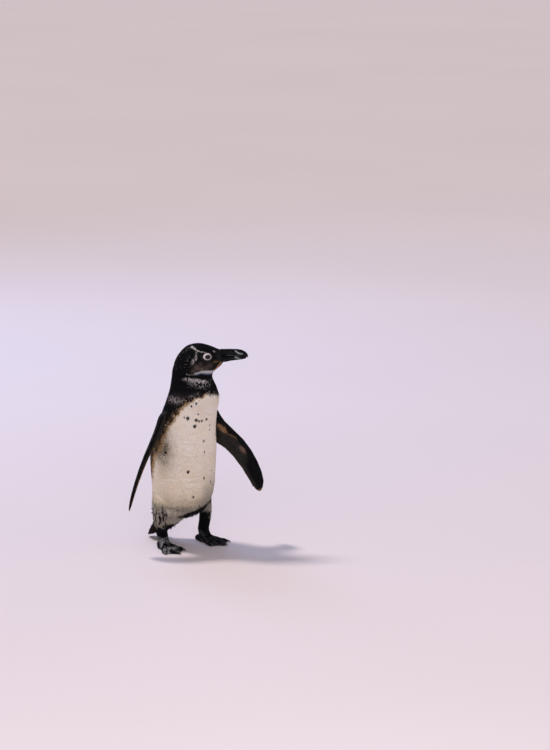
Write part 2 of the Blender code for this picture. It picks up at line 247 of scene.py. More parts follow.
def remeshed(name, nodes, voxel, growth=0.0):
    # one closed fine surface round several solids
    bm = bmesh.new()
    for node in nodes:
        part = meshOf(node, mergedCopy(node, growth))
        bm.from_mesh(part)
        bpy.data.meshes.remove(part)
    helper = addObject(name, meshOf(name, bm))
    remesh = helper.modifiers.new("remesh", "REMESH")
    remesh.mode = "VOXEL"
    remesh.voxel_size = voxel
    remesh.use_smooth_shade = True
    return takenFrom(helper)


# nodes: one way of adding them, and sums written as expressions


def fill(tree, socket, value):
    # a socket takes a wire or a plain value
    value = getattr(value, "socket", value)
    if isinstance(value, bpy.types.NodeSocket):
        tree.links.new(value, socket)
    else:
        socket.default_value = value


def addNode(tree, kind, settings=None, sockets=None):
    node = tree.nodes.new(kind)
    for name, value in (settings or {}).items():
        setattr(node, name, value)
    for name, value in (sockets or {}).items():
        named = [s for s in node.inputs if s.enabled and s.name == name]
        fill(tree, node.inputs[name] if isinstance(name, int) else named[0], value)
    return node


def outOf(node, name=None):
    shown = [s for s in node.outputs if s.enabled]
    return Wire(node.id_data, next((s for s in shown if s.name == name), shown[0]))


class Wire:
    def __init__(self, tree, socket):
        self.tree = tree
        self.socket = socket

    def sum(self, operation, first, second, clamp=False):
        settings = {"operation": operation, "use_clamp": clamp}
        return outOf(addNode(self.tree, "ShaderNodeMath", settings, {0: first, 1: second}))

    def __add__(self, other):
        return self.sum("ADD", self, other)

    def __radd__(self, other):
        return self.sum("ADD", other, self)

    def __sub__(self, other):
        return self.sum("SUBTRACT", self, other)

    def __rsub__(self, other):
        return self.sum("SUBTRACT", other, self)

    def __mul__(self, other):
        return self.sum("MULTIPLY", self, other)

    def __rmul__(self, other):
        return self.sum("MULTIPLY", other, self)

    def __truediv__(self, other):
        return self.sum("DIVIDE", self, other)

    def __rtruediv__(self, other):
        return self.sum("DIVIDE", other, self)

    def clamped(self):
        return self.sum("ADD", self, 0.0, clamp=True)

    def ranged(self, low, high, newLow=0.0, newHigh=1.0):
        settings = {"interpolation_type": "SMOOTHSTEP"}
        sockets = {"Value": self, "From Min": low, "From Max": high}
        sockets.update({"To Min": newLow, "To Max": newHigh})
        return outOf(addNode(self.tree, "ShaderNodeMapRange", settings, sockets))


class Finish:
    # a material under way: its tree, its shader and what is often needed
    def __init__(self, name, colour, roughness, **constants):
        self.material = bpy.data.materials.new(name)
        self.material.use_nodes = True
        self.tree = self.material.node_tree
        self.shader = self.tree.nodes["Principled BSDF"]
        self.material.diffuse_color = (*colour, 1)
        self.put("Base Color", (*colour, 1))
        self.put("Roughness", roughness)
        for socket, value in constants.items():
            self.put(socket.replace("_", " "), value)

    def put(self, name, value):
        fill(self.tree, self.shader.inputs[name], value)

    def node(self, kind, settings=None, sockets=None, output=None):
        return outOf(addNode(self.tree, kind, settings, sockets), output)

    def here(self):
        return self.node("ShaderNodeTexCoord", output="Object")

    def attribute(self, name, output="Fac"):
        return self.node("ShaderNodeAttribute", {"attribute_name": name}, output=output)

    def grain(self, scale, detail=3.0, rough=0.5, stretch=None):
        spot = self.here()
        if stretch:
            spot = self.node("ShaderNodeMapping", None, {"Vector": spot, "Scale": stretch})
        sockets = {"Vector": spot, "Scale": scale, "Detail": detail, "Roughness": rough}
        return self.node("ShaderNodeTexNoise", None, sockets)

    def cells(self, scale, feature="F1"):
        sockets = {"Vector": self.here(), "Scale": scale}
        return self.node("ShaderNodeTexVoronoi", {"feature": feature}, sockets, "Distance")

    def mix(self, share, colour, other, blend="MIX"):
        settings = {"data_type": "RGBA", "blend_type": blend}
        sockets = {"Factor": share, "A": rgba(colour), "B": rgba(other)}
        return self.node("ShaderNodeMix", settings, sockets)

    def bumped(self, height, distance, strength=1.0):
        sockets = {"Height": height, "Distance": distance, "Strength": strength}
        self.put("Normal", self.node("ShaderNodeBump", None, sockets))


def rgba(colour):
    return (*colour, 1) if isinstance(colour, tuple) and len(colour) == 3 else colour


# camera, light and floor

studio = {
    "cameraFrom": (-4.44810, -4.45611, 1.66589),  # from the foot of the neck's axis
    "cameraAt": (0.17639, -0.07859, 0.36130),
    "lens": 145.116,
    "floorColour": (0.635, 0.540, 0.580),
    "floorSize": 60,
    "floorCloud": 0.04,  # how much the floor's tone wanders
    "skyColour": (0.95, 0.96, 1.0),
    "skyStrength": 0.42,
    "lampsAt": (0, 0, 0.22),
}
lamps = {
    "sun": {
        "kind": "SUN",
        "place": (-0.48, 1.76, 3.52),
        "energy": 2.1,
        "angle": math.radians(9),
        "color": (1.0, 0.96, 0.90),
    },
    "front": {
        "kind": "AREA",
        "place": (-2.7, -3.0, 1.5),
        "shape": "DISK",
        "size": 3.2,
        "energy": 82,
        "color": (1.0, 0.96, 0.92),
    },
    "rim": {
        "kind": "AREA",
        "place": (1.0, 2.6, 2.4),
        "size": 1.6,
        "energy": 44,
        "color": (0.36, 0.56, 1.0),
    },
}


def aimed(start, at):
    # the stand of a lamp or camera that looks from one place to another
    turn = (at - start).to_track_quat("-Z", "Y").to_matrix().to_4x4()
    return Matrix.Translation(start) @ turn


def addLamp(name, kind, place, **settings):
    data = bpy.data.lights.new(name, kind)
    for setting, value in settings.items():
        setattr(data, setting, value)
    addObject(name, data).matrix_world = aimed(Vector(place), Vector(studio["lampsAt"]))


def makeStudio():
    scene = bpy.context.scene
    scene.view_settings.view_transform = "Standard"
    data = bpy.data.cameras.new("camera")
    data.lens = studio["lens"]
    data.clip_end = 100
    camera = addObject("camera", data)
    start = neckAxis + Vector(studio["cameraFrom"])
    camera.matrix_world = aimed(start, neckAxis + Vector(studio["cameraAt"]))
    scene.camera = camera

    world = bpy.data.worlds.new("studio")
    scene.world = world
    world.use_nodes = True
    sky = world.node_tree.nodes["Background"]
    sky.inputs["Color"].default_value = (*studio["skyColour"], 1)
    sky.inputs["Strength"].default_value = studio["skyStrength"]
    for name, look in lamps.items():
        addLamp(name, **look)

    bm = bmesh.new()
    bmesh.ops.create_grid(bm, x_segments=1, y_segments=1, size=studio["floorSize"])
    floor = addObject("floor", meshOf("floor", bm))
    paint = Finish("floor paper", studio["floorColour"], 0.9)
    pale = tuple(c * (1 + studio["floorCloud"]) for c in studio["floorColour"])
    dim = tuple(c * (1 - studio["floorCloud"]) for c in studio["floorColour"])
    paint.put("Base Color", paint.mix(paint.grain(0.9, 2.0), dim, pale))
    floor.data.materials.append(paint.material)


makeStudio()
print("studio ready")

# the skin's shape

skinLook = {
    "voxel": 0.00178,
    "overlap": 0.0004,  # the solids grow by this to close the gaps between them
    # what melts into the trunk, how widely and how much
    "joins": ((("leg", "flipper"), 40, 60), (("leg",), 70, 100)),
    "evening": 60,  # how many rounds even out the solids' facets
    "evenedAway": 0.0004,  # how much those rounds take off a round part
    "throatFold": 0.0022,
    "ruff": 0.0008,
    "ruffDrop": 0.0085,  # how far the ruff lies below the fold
    "lumps": 0.0004,
    "crotch": 0.0015,
    # swellings of the brow and the cheek: place, height and reach
    "swellings": (
        ((0.040, 0.0215, 0.4330), 0.0010, 0.0065),
        ((0.026, 0.0300, 0.4040), 0.0012, 0.0110),
    ),
}
# each part: how deep its skin lies under the coat, how long and how slim its
# feathers are, and by how many degrees they stand out
partLook = {
    "trunk": {"depth": 0.0020, "length": 0.0066, "slimness": 0.34, "lift": 6.0},
    "neck": {"depth": 0.0016, "length": 0.0054, "slimness": 0.36, "lift": 7.5},
    "head": {"depth": 0.0011, "length": 0.0035, "slimness": 0.42, "lift": 8.0},
    "tail": {"depth": 0.0012, "length": 0.0080, "slimness": 0.36, "lift": 6.0},
    "leg": {"depth": 0.0014, "length": 0.0050, "slimness": 0.34, "lift": 9.0},
    "flipper": {"depth": 0.0004, "length": 0.0027, "slimness": 0.60, "lift": 5.0},
}
fleshNodes = (
    "trunk", "neck", "head", "tail",
    "leg_left", "leg_right", "flipper_left", "flipper_right",
)
# paths on the head's right half: ahead, out from its middle, up
throatFold = (
    (-0.0130, 0.0320, 0.3800), (0.0030, 0.0323, 0.3788), (0.0125, 0.0317, 0.3775),
    (0.0221, 0.0269, 0.3786), (0.0337, 0.0181, 0.3765), (0.0400, 0.0110, 0.3735),
    (0.0415, 0.0000, 0.3720),
)


def nearestNodes(points):
    # which solid each point of the skin belongs to
    corners, faces, owners = [], [], []
    for index, node in enumerate(fleshNodes):
        mesh = frame["nodes"][node].data
        base = len(corners)
        corners += [v.co.copy() for v in mesh.vertices]
        for face in mesh.polygons:
            faces.append([base + i for i in face.vertices])
            owners.append(index)
    tree = BVHTree.FromPolygons(corners, faces)
    return np.array([owners[tree.find_nearest(Vector(p))[2]] for p in points])


def mixedBy(share, measure):
    return sum(share[part] * look[measure] for part, look in partLook.items())


def joinZone(owner, edges, limbs, spread):
    # 1 along the borders of the limbs, fading away from them
    first, second = owner[edges[:, 0]], owner[edges[:, 1]]
    limb = np.array([node.split("_")[0] in limbs for node in fleshNodes])
    border = (first != second) & (limb[first] | limb[second])
    zone = np.zeros(len(owner))
    zone[edges[border].ravel()] = 1
    zone = relaxed(zone, edges, spread)
    return np.clip(zone / 0.10, 0, 1)


def mirrored(points):
    # the head's places with both halves laid on one
    ahead, left, up = headPlaces(points)
    return np.stack([ahead, np.abs(left), up], 1)


def shapeSkin():
    mesh = remeshed("skin", fleshNodes, skinLook["voxel"], skinLook["overlap"])
    points, edges = pointsOf(mesh), edgesOf(mesh)
    owner = nearestNodes(points)
    for limbs, spread, rounds in skinLook["joins"]:
        zone = joinZone(owner, edges, limbs, spread)[:, None]
        points += (relaxed(points, edges, rounds) - points) * zone
    points = relaxed(relaxed(points, edges, 3, 0.5), edges, 3, -0.53)
    share = {}
    for part in partLook:
        mask = [fleshNodes[o].startswith(part) for o in owner]
        share[part] = relaxed(np.array(mask, float), edges, 12)
    # the flat facets of the solids are evened out on the round parts
    rounded = np.clip(share["trunk"] + share["neck"] + 0.3 * share["head"], 0, 1)[:, None]
    setPoints(mesh, points)
    lost = normalsOf(mesh) * skinLook["evenedAway"]
    points += (relaxed(points, edges, skinLook["evening"]) + lost - points) * rounded
    setPoints(mesh, points)
    normals = normalsOf(mesh)

    face = mirrored(points)
    fold, _ = awayFrom(face, throatFold)
    ruff, _ = awayFrom(face + np.array((0, 0, skinLook["ruffDrop"])), throatFold)
    onHead = np.clip(share["head"] + share["neck"], 0, 1)
    lift = -skinLook["throatFold"] * bump(fold, 0.0024) * onHead
    lift += skinLook["ruff"] * bump(ruff, 0.0050) * onHead
    for place, rise, reach in skinLook["swellings"]:
        lift += rise * bump(np.linalg.norm(face - np.array(place), axis=1), reach)
    body = np.clip(share["trunk"] + share["neck"] * 0.6, 0, 1)
    lumps = noiseAt(points * np.array((1, 1, 0.6)), 0.022, 1) + 0.5 * noiseAt(points, 0.010, 2)
    lift += skinLook["lumps"] * lumps * body
    forward, _, up = bodyPlaces(points)
    lift += skinLook["crotch"] * bump(up - 0.084, 0.010) * smooth(0.0, 0.035, forward) * body

    depth = mixedBy(share, "depth")
    depth *= 1 - 0.85 * smooth(0.054, 0.064, face[:, 0])  # least at the bill
    points += normals * (lift - depth - skinLook["overlap"])[:, None]
    setPoints(mesh, points)
    mesh.shade_smooth()
    return mesh, edges, owner, share


skinMesh, skinEdges, skinOwner, skinShare = shapeSkin()
skinPoints = pointsOf(skinMesh)
skinNormals = normalsOf(skinMesh)
print("skin shaped with", len(skinPoints), "points")

# markings, shared by skin and coat

colours = {
    "black": (0.0036, 0.0037, 0.0052),
    "softBlack": (0.012, 0.011, 0.011),
    "white": (0.93, 0.850, 0.790),
    "cream": (0.90, 0.770, 0.620),
    "strapWhite": (0.60, 0.58, 0.62),
    "strapShadeBlue": (0.062, 0.100, 0.185),
    "dirtAndShade": (0.56, 0.470, 0.320),
    "shadeGrey": (0.33, 0.305, 0.255),
    "olive": (0.27, 0.215, 0.135),
    "darkOlive": (0.050, 0.041, 0.025),
    "fringe": (0.38, 0.235, 0.115),
    "brown": (0.045, 0.030, 0.022),
    "cheek": (0.150, 0.115, 0.096),
    "fleck": (0.68, 0.62, 0.64),
    "gape": (0.50, 0.270, 0.110),
    "vent": (0.66, 0.590, 0.490),
    "shank": (0.42, 0.360, 0.310),
    "shadedBandBrown": (0.36, 0.205, 0.110),
    "shadedBandPink": (0.27, 0.170, 0.120),
    "wingGrey": (0.034, 0.031, 0.028),
    "creamEdgeAndSunlitBand": (0.44, 0.290, 0.110),
    "frostGrey": (0.17, 0.15, 0.16),
}


class Layers:
    # a colour for every point, laid on layer by layer
    def __init__(self, points, ground):
        self.colour = np.tile(colours[ground], (len(points), 1))

    def lay(self, share, name):
        self.colour = blended(self.colour, colours[name], share)


# the dark back's lower edge: height at each angle from the front, both sides
backEdge = (
    (0, 0.3423), (14, 0.3408), (36, 0.3354), (60, 0.3240), (71, 0.3125), (81, 0.2990),
    (90, 0.2850), (102, 0.2710), (107, 0.2570), (110, 0.2440), (114, 0.2280), (121, 0.2150),
    (130, 0.2000), (136, 0.1800), (142, 0.1550), (149, 0.1400), (156, 0.1200), (165, 0.0780),
    (180, 0.0500),
)
bodyLook = {
    "tailTop": 0.077,  # round the tail the dark back ends on a slope from here
    "tailBehind": 0.066,
    "tailSlope": 1.59,
    "perDegree": 0.0012,  # how far round the flank a degree reaches
    "spotPerDegree": math.radians(1) * 0.057,  # and round the breast
    "spotSize": 1.45,
    "spotUnevenness": 0.25,
    "spotStrength": 0.95,
}
# the ragged edge's waves: how high and how wide each is, and its seed
edgeWaves = ((0.0040, 0.011, 15), (0.0035, 0.0045, 3), (0.0030, 0.0020, 4))
# smudges where the flipper rests against the flank: angle and its spread,
# height and its reach, how speckled and how cloudy each is, and its colour
flankSmudges = (
    (104, 20, 0.218, 0.036, 1.1, 0.5, "olive"),
    (109, 11, 0.223, 0.026, 1.2, 0.6, "darkOlive"),
)
# the height below which the underside, under the belly's bulge, is painted in shade, from the bird's
# right to its left
hemShadeLine = ((-0.030, 0.074), (-0.015, 0.084), (0.0, 0.091), (0.020, 0.095))
# breast spots: angle from the front towards the bird's right, height, radius
spots = (
    (34, 0.3262, 0.0017), (45, 0.3208, 0.0018), (30, 0.3030, 0.0013),
    (61, 0.2949, 0.0013), (53, 0.2939, 0.0030), (34, 0.2895, 0.0026),
    (27, 0.2867, 0.0019), (20, 0.2871, 0.0019), (7, 0.2891, 0.0021),
    (37, 0.2759, 0.0030), (-8, 0.2738, 0.0015), (-10, 0.2627, 0.0014),
    (10, 0.2411, 0.0017), (7, 0.2159, 0.0018), (53, 0.1763, 0.0028),
    (5, 0.1586, 0.0019), (-25, 0.1473, 0.0018), (-27, 0.1712, 0.0015),
    (40, 0.1198, 0.0021), (10, 0.0953, 0.0017), (101, 0.2169, 0.0022),
    (-38, 0.2985, 0.0022), (-52, 0.2870, 0.0017), (-45, 0.2480, 0.0024),
    (-66, 0.2290, 0.0016), (-58, 0.1930, 0.0019), (-40, 0.1380, 0.0016),
    (-80, 0.1700, 0.0021), (-72, 0.2700, 0.0014),
)
# paths on the head's right half: ahead, out from its middle, up
faceMarks = {
    "stripe": (
        (0.0297, 0.0219, 0.4294), (0.0223, 0.0220, 0.4305), (0.0139, 0.0206, 0.4324),
        (0.0065, 0.0160, 0.4364), (0.0023, 0.0119, 0.4385),
    ),
    "nape": ((0.0030, 0.0124, 0.4380), (-0.0051, 0.0105, 0.4357), (-0.0100, 0.0130, 0.4300)),
    "ear": (
        (0.0125, 0.0208, 0.4320), (0.0125, 0.0235, 0.4260), (0.0106, 0.0256, 0.4205),
        (0.0100, 0.0268, 0.4165), (0.0048, 0.0270, 0.4130), (0.0035, 0.0278, 0.4088),
    ),
    "gape": ((0.0480, 0.0220, 0.4088), (0.0530, 0.0196, 0.4096), (0.0600, 0.0140, 0.4082)),
    "jaw": (
        (0.0490, 0.0118, 0.3890), (0.0545, 0.0121, 0.3945),
        (0.0593, 0.0138, 0.4003), (0.0640, 0.0130, 0.4047),
    ),
    "chinStrap": (
        (0.0475, 0.0000, 0.3852), (0.0432, 0.0126, 0.3858), (0.0316, 0.0231, 0.3864),
        (0.0221, 0.0278, 0.3874), (0.0126, 0.0301, 0.3847), (0.0030, 0.0296, 0.3825),
        (-0.0085, 0.0308, 0.3830),
    ),
}
paleSpot = (0.0488, 0.0135, 0.4298)
# heights along the strap's middle and along the frost's upper edge: ahead, up
strapMiddle = (
    (-0.0085, 0.3830), (0.0030, 0.3825), (0.0126, 0.3847),
    (0.0221, 0.3874), (0.0316, 0.3864), (0.045, 0.3845),
)
frostTop = ((-0.0129, 0.3760), (0.0104, 0.3742), (0.0337, 0.3702))
# places on the cheek (ahead, out, up), how far each reaches and its strength
cheekPatches = (
    ((0.0221, 0.0287, 0.3941), 0.0060, 0.95),
    ((0.0130, 0.0297, 0.3975), 0.0065, 0.85),
    ((0.0050, 0.0296, 0.3905), 0.0050, 0.60),
    ((0.0317, 0.0262, 0.3965), 0.0070, 0.55),
    ((0.0390, 0.0240, 0.4010), 0.0080, 0.45),
    ((0.0200, 0.0290, 0.4040), 0.0060, 0.45),
)
eyeRing = {"long": 0.0097, "high": 0.0075}


def eyeAxes(side):
    # the eye's middle, and where it looks, what is ahead and what is above it
    looks = eyeLooks[side]
    across = (headAhead - looks * headAhead.dot(looks)).normalized()
    rise = across.cross(looks)
    return middleOf("eye_" + side), looks, across, rise if rise.z > 0 else -rise


def ringDistance(points, side):
    # 1 on the outer edge of the bare ring round the eye
    centre, looks, across, rise = map(np.array, eyeAxes(side))
    offset = points - centre
    reach = np.hypot(offset @ across / eyeRing["long"], offset @ rise / eyeRing["high"])
    return np.where(offset @ looks > 0, reach, 9.0)


def flipperFrame(side):
    # along to the tip, towards the leading edge, and outwards from the body
    points = pointsOf(frame["nodes"]["flipper_" + side].data)
    middle = points.mean(0)
    axes = np.linalg.svd(points - middle, full_matrices=False)[2]
    along = axes[0] * (-1 if axes[0][2] > 0 else 1)
    lead = axes[1] * (1 if axes[1][2] > 0 else -1)
    out = np.cross(along, lead)
    out *= np.sign((middle - np.array(middleOf("trunk"))) @ out)
    reach = (points - middle) @ along
    return middle, (along, lead, out), (reach.min(), reach.max())


flipperFrames = {side: flipperFrame(side) for side in sides}


def bodyMarks(points):
    forward, left, up = bodyPlaces(points)
    angle = np.degrees(np.arctan2(-left, forward))
    around = np.abs(angle)
    fine = noiseAt(points, 0.0016, 5)
    soft = noiseAt(points, 0.018, 6)
    dark, over = backCover(points, around)

    belly = Layers(points, "white")
    belly.lay(0.35 + 0.4 * soft + 0.55 * smooth(0.25, 0.12, up), "cream")
    # the lower belly darker: partly dirt on the feathers, partly painted shade where the belly turns
    # under
    belly.lay(0.75 * smooth(0.135, 0.092, up) * (1 + 0.5 * soft), "dirtAndShade")
    belly.lay(0.75 * smooth(0.020, -0.012, -left) * smooth(0.180, 0.105, up), "shadeGrey")
    belly.lay(0.85 * smooth(0.104, 0.090, up + 0.002 * fine), "shadeGrey")
    streaks = noiseAt(points * np.array((1, 1, 0.3)), 0.0034, 17)
    speck = smooth(0.25, 0.50, streaks + 0.4 * fine) * smooth(0.115, 0.085, up)
    belly.lay(0.65 * speck, "softBlack")
    under = smooth(0.010, -0.012, forward) * smooth(0.092, 0.080, up)
    belly.lay(under * (0.9 + 0.3 * fine), "vent")
    # painted shade under the belly's bulge, below the hem, and the tail's dark underside
    overHemShade = up - np.interp(left, *zip(*hemShadeLine)) + 0.003 * fine
    hem = smooth(0.0020, -0.0020, overHemShade) * smooth(-0.034, -0.026, left)
    hem *= smooth(-0.026, -0.008, forward)
    tip = smooth(-0.047, -0.055, forward) * smooth(0.048, 0.040, up + 0.003 * fine)
    belly.lay(np.maximum(hem, tip), "softBlack")

    for turn, spread, height, reach, specks, clouds, name in flankSmudges:
        near = bump(around - turn, spread) * bump(up - height, reach)
        belly.lay(0.70 * near * (1 + specks * fine + clouds * soft), name)

    # the fringe: thin and rusty at the breast, broad and golden on the flank
    broad = np.interp(angle, (-10, 20, 60, 110), (0.0018, 0.0026, 0.0060, 0.0095))
    warm = smooth(-2.2 * broad, 0.0, over) * smooth(-6, 14, angle + 180 * (angle < -10))
    warm = np.where(angle < -10, smooth(-0.004, 0.0, over) * 0.6, warm)
    warm *= smooth(0.10, 0.16, up) * smooth(-0.30, 0.25, fine + 0.8 * (over / broad + 1.1))
    belly.lay(warm, "fringe")
    grey = smooth(-0.007, 0.0, over + 0.002 * soft) * smooth(16, 0, angle) * smooth(-60, -20, angle)
    belly.lay(0.75 * grey, "shadeGrey")

    uneven = 1 + bodyLook["spotUnevenness"] * noiseAt(points, 0.003, 7)
    for turn, height, radius in spots:
        reach = np.hypot((angle - turn) * bodyLook["spotPerDegree"], up - height)
        edge = bodyLook["spotSize"] * radius * uneven
        spot = smooth(edge * 1.25, edge * 0.7, reach)
        belly.lay(bodyLook["spotStrength"] * spot, "softBlack")

    back = Layers(points, "black")
    near = bump(over, 0.009) * smooth(0.10, 0.14, up)
    back.lay(0.15 * smooth(0.0, 0.5, soft) + 0.35 * near, "brown")
    speckled = bump(around - 98, 26) * bump(up - 0.328, 0.0065)
    back.lay(0.75 * speckled * smooth(0.0, 0.26, fine), "fleck")
    gold = bump(over, 0.012) * smooth(50, 80, around) * smooth(0.02, 0.26, fine)
    back.lay(0.85 * gold * smooth(0.10, 0.14, up), "fringe")
    stray = bump(over, 0.014) * smooth(0.30, 0.46, fine) * smooth(0.10, 0.16, up)
    back.lay(0.45 * stray, "fleck")
    return blended(belly.colour, back.colour, dark)


def backCover(points, around):
    # how surely a place lies in the dark back, and how far inside its edge
    forward, _, up = bodyPlaces(points)
    angles, heights = zip(*backEdge)
    edge = np.interp(around, angles, heights)
    ragged = sum(height * noiseAt(points, grain, seed) for height, grain, seed in edgeWaves)
    # on the steep flank the edge is told by angle, elsewhere by height
    over = up - edge + ragged
    flankEdge = np.interp(up, heights[::-1], angles[::-1])
    aside = (around - flankEdge) * bodyLook["perDegree"] + ragged
    over = np.where(np.abs(over) < np.abs(aside), over, aside)
    # round the tail only what faces up and back is dark
    behind = (up - bodyLook["tailTop"]) / bodyLook["tailSlope"] - bodyLook["tailBehind"]
    behind += ragged - forward
    low = smooth(0.088, 0.070, up)
    over = over * (1 - low) + behind * low
    return smooth(-0.0016, 0.0016, over), over


def headMarks(points):
    face = mirrored(points)
    ahead, _, up = face.T
    fine, mid = noiseAt(points, 0.0012, 8), noiseAt(points, 0.004, 9)
    head = Layers(points, "black")

    # a brown cheek, palest along its lower edge
    cheek = np.zeros(len(points))
    for at, reach, strength in cheekPatches:
        away = np.linalg.norm(face - np.array(at), axis=1)
        cheek = np.maximum(cheek, strength * bump(away, reach))
    head.lay(cheek * (0.85 + 0.6 * fine + 0.3 * mid), "cheek")
    jaw, along = awayFrom(face, faceMarks["jaw"])
    head.lay(1.1 * bump(jaw, 0.0026 - 0.0006 * along), "gape")
    gape, _ = awayFrom(face, faceMarks["gape"])
    head.lay(0.9 * bump(gape, 0.0015) * (0.8 + 0.8 * fine), "gape")

    shaken = face + (0.0018 * mid + 0.0018 * fine)[:, None] * np.array((0.4, 0.0, 1.0))
    stripe, along = awayFrom(shaken, faceMarks["stripe"])
    broken = smooth(-0.30, 0.10, fine + 0.7 * along) * (0.80 + 0.60 * along)
    head.lay(bump(stripe, 0.0009 + 0.0011 * along**2) * broken * 1.4, "fleck")
    nape, _ = awayFrom(face, faceMarks["nape"])
    head.lay(bump(nape, 0.0022) * smooth(0.05, 0.3, fine) * 0.5, "fleck")
    ear, along = awayFrom(shaken, faceMarks["ear"])
    head.lay(bump(ear, 0.0018 + 0.0014 * along) * smooth(0.04, 0.20, fine) * 1.1, "fleck")
    dust = smooth(0.012, -0.004, ahead) * smooth(0.50, 0.60, fine) * smooth(0.388, 0.402, up)
    head.lay(0.30 * dust, "fleck")
    pale = np.linalg.norm(face - np.array(paleSpot), axis=1)
    head.lay(0.42 * smooth(0.0036, 0.0010, pale), "fleck")

    # the strap under the chin, with painted bluish shade along its lower edge, and the fold's painted
    # shadow
    strap, along = awayFrom(face, faceMarks["chinStrap"])
    width = np.interp(along, (0, 0.3, 0.55, 1), (0.0072, 0.0062, 0.0038, 0.0014))
    whole = smooth(width * 1.15, width * 0.8, strap + 0.0006 * mid)
    middle = np.interp(ahead, *zip(*strapMiddle))
    band = Layers(points, "strapWhite")
    # painted bluish shade along the strap's lower edge
    band.lay(smooth(0.05, -0.65, (up - middle) / width), "strapShadeBlue")
    head.colour = blended(head.colour, band.colour, whole * (1 - 0.60 * along))
    fold, along = awayFrom(face, throatFold)
    head.lay(0.95 * bump(fold, 0.0014 + 0.0022 * along), "black")

    # frost below the fold: dense on top, sparse under it
    drop = np.interp(ahead, *zip(*frostTop)) - up + 0.0006 * mid
    dense = smooth(0.0, 0.0012, drop) * smooth(0.0075, 0.0025, drop)
    dense *= smooth(-0.024, -0.002, ahead) * smooth(0.038, 0.026, ahead)
    dense *= np.clip(0.75 + 0.9 * mid + 0.5 * fine, 0, 1)
    sparse = smooth(0.0, 0.0015, drop) * smooth(0.022, 0.006, drop)
    sparse *= smooth(-0.014, 0.002, ahead) * smooth(0.046, 0.030, ahead)
    frost = np.maximum(dense * smooth(-0.30, 0.05, fine), sparse * smooth(0.10, 0.34, fine))
    head.lay(frost, "fleck")
    dim = Layers(points, "black")
    dim.lay(dense, "frostGrey")
    head.colour = np.maximum(head.colour, dim.colour * dense[:, None])

    for side in sides:
        head.lay(smooth(1.12, 0.98, ringDistance(points, side)), "black")
    return head.colour


def alongFlipper(points, side):
    # share of the way to the tip, towards the leading edge, out from the body
    middle, (along, lead, out), (near, far) = flipperFrames[side]
    offset = points - middle
    return (offset @ along - near) / (far - near), offset @ lead, offset @ out


def bladeEdges(side):
    # how far back and forward the blade reaches, from shoulder to tip
    far, front, _ = alongFlipper(pointsOf(frame["nodes"]["flipper_" + side].data), side)
    stations = np.linspace(0.03, 0.97, 16)
    near = [np.abs(far - station) < 0.07 for station in stations]
    return stations, [front[n].min() for n in near], [front[n].max() for n in near]


bladeOutlines = {side: bladeEdges(side) for side in sides}


def acrossBlade(points, side):
    # share of the way to the tip, and from the leading to the trailing edge
    far, front, _ = alongFlipper(points, side)
    stations, back, lead = bladeOutlines[side]
    high, low = np.interp(far, stations, lead), np.interp(far, stations, back)
    return far, (high - front) / (high - low)


def legMarks(points, side):
    fine, mid = noiseAt(points, 0.0015, 10), noiseAt(points, 0.006, 11)
    forward, left, up = bodyPlaces(points)
    axis = middleOf("leg_" + side)
    axisForward, axisLeft, _ = bodyPlaces(np.array(axis)[None])
    outward = (left - axisLeft) * sides[side]
    turn = np.degrees(np.arctan2(forward - axisForward, outward))
    leg = Layers(points, "black")
    if side == "right":
        # a pale outer face with ragged dark streaks
        pale = bump(turn - 25, 95) ** 0.5 * smooth(0.044, 0.054, up + 0.007 * mid)
        streaks = noiseAt(points * np.array((1, 1, 0.3)), 0.0040, 18)
        pale *= smooth(-0.35, 0.10, streaks + 0.5 * fine + 0.6 * mid + 0.05)
        leg.lay(0.90 * pale * (1 + 0.3 * fine), "shank")
    else:
        # as pale as the belly above, black below
        leg.lay(smooth(0.066, 0.073, up + 0.008 * mid + 0.003 * fine), "shadeGrey")
        streaks = noiseAt(points * np.array((1, 1, 0.35)), 0.0024, 19)
        patch = bump(turn - 40, 34) * smooth(0.046, 0.056, up + 0.006 * mid)
        leg.lay(0.9 * patch * smooth(-0.15, 0.25, streaks), "white")
    return leg.colour


# patches of one pale band on a flipper's inner face, partly the band's own colour and partly
# painted shade on the left flipper and painted light on the right: how far along and from the
# leading edge each lies, how long and how broad it is, its strength and its colour
wingPatches = {
    "left": (
        (0.265, 0.25, 0.065, 0.11, 1.10, "shadedBandBrown"),
        (0.385, 0.21, 0.055, 0.05, 0.50, "shadedBandBrown"),
        (0.545, 0.32, 0.050, 0.12, 0.85, "shadedBandPink"),
    ),
    "right": ((0.66, 0.88, 0.36, 0.40, 1.3, "creamEdgeAndSunlitBand"),),
}


def wingMarks(points, normals, side):
    fine, mid = noiseAt(points, 0.0015, 12), noiseAt(points, 0.007, 13)
    far, margin = acrossBlade(points, side)
    inner = Layers(points, "black")
    middle = smooth(0.16, 0.24, margin) * smooth(0.72, 0.60, far + 0.25 * (0.5 - margin))
    rear = smooth(0.66, 0.80, margin)
    grey = np.maximum(middle, 1.2 * rear) * (0.85 + 0.6 * mid + 0.4 * fine)
    inner.lay(grey * smooth(0.99, 0.93, far), "wingGrey")
    # the band's patches: painted shade on the left flipper, painted light on the right
    for along, across, long, broad, strength, tint in wingPatches[side]:
        away = np.hypot((far - along) / long, (margin - across) / broad)
        patch = strength * smooth(1.30, 0.40, away + 0.40 * mid + 0.45 * fine)
        inner.lay(patch * (0.85 + 0.7 * fine), tint)
    inner.lay(0.6 * smooth(0.975, 0.995, far), "fringe")
    outer = Layers(points, "black")
    outer.lay(0.20 + 0.4 * mid, "brown")
    outer.lay(0.5 * smooth(0.965, 0.99, margin), "creamEdgeAndSunlitBand")
    within = normals @ flipperFrames[side][1][2] < 0
    return np.where(within[:, None], inner.colour, outer.colour)


def tailMarks(points):
    tail = Layers(points, "black")
    tail.lay(0.3 + 0.5 * noiseAt(points, 0.008, 14), "brown")
    return tail.colour


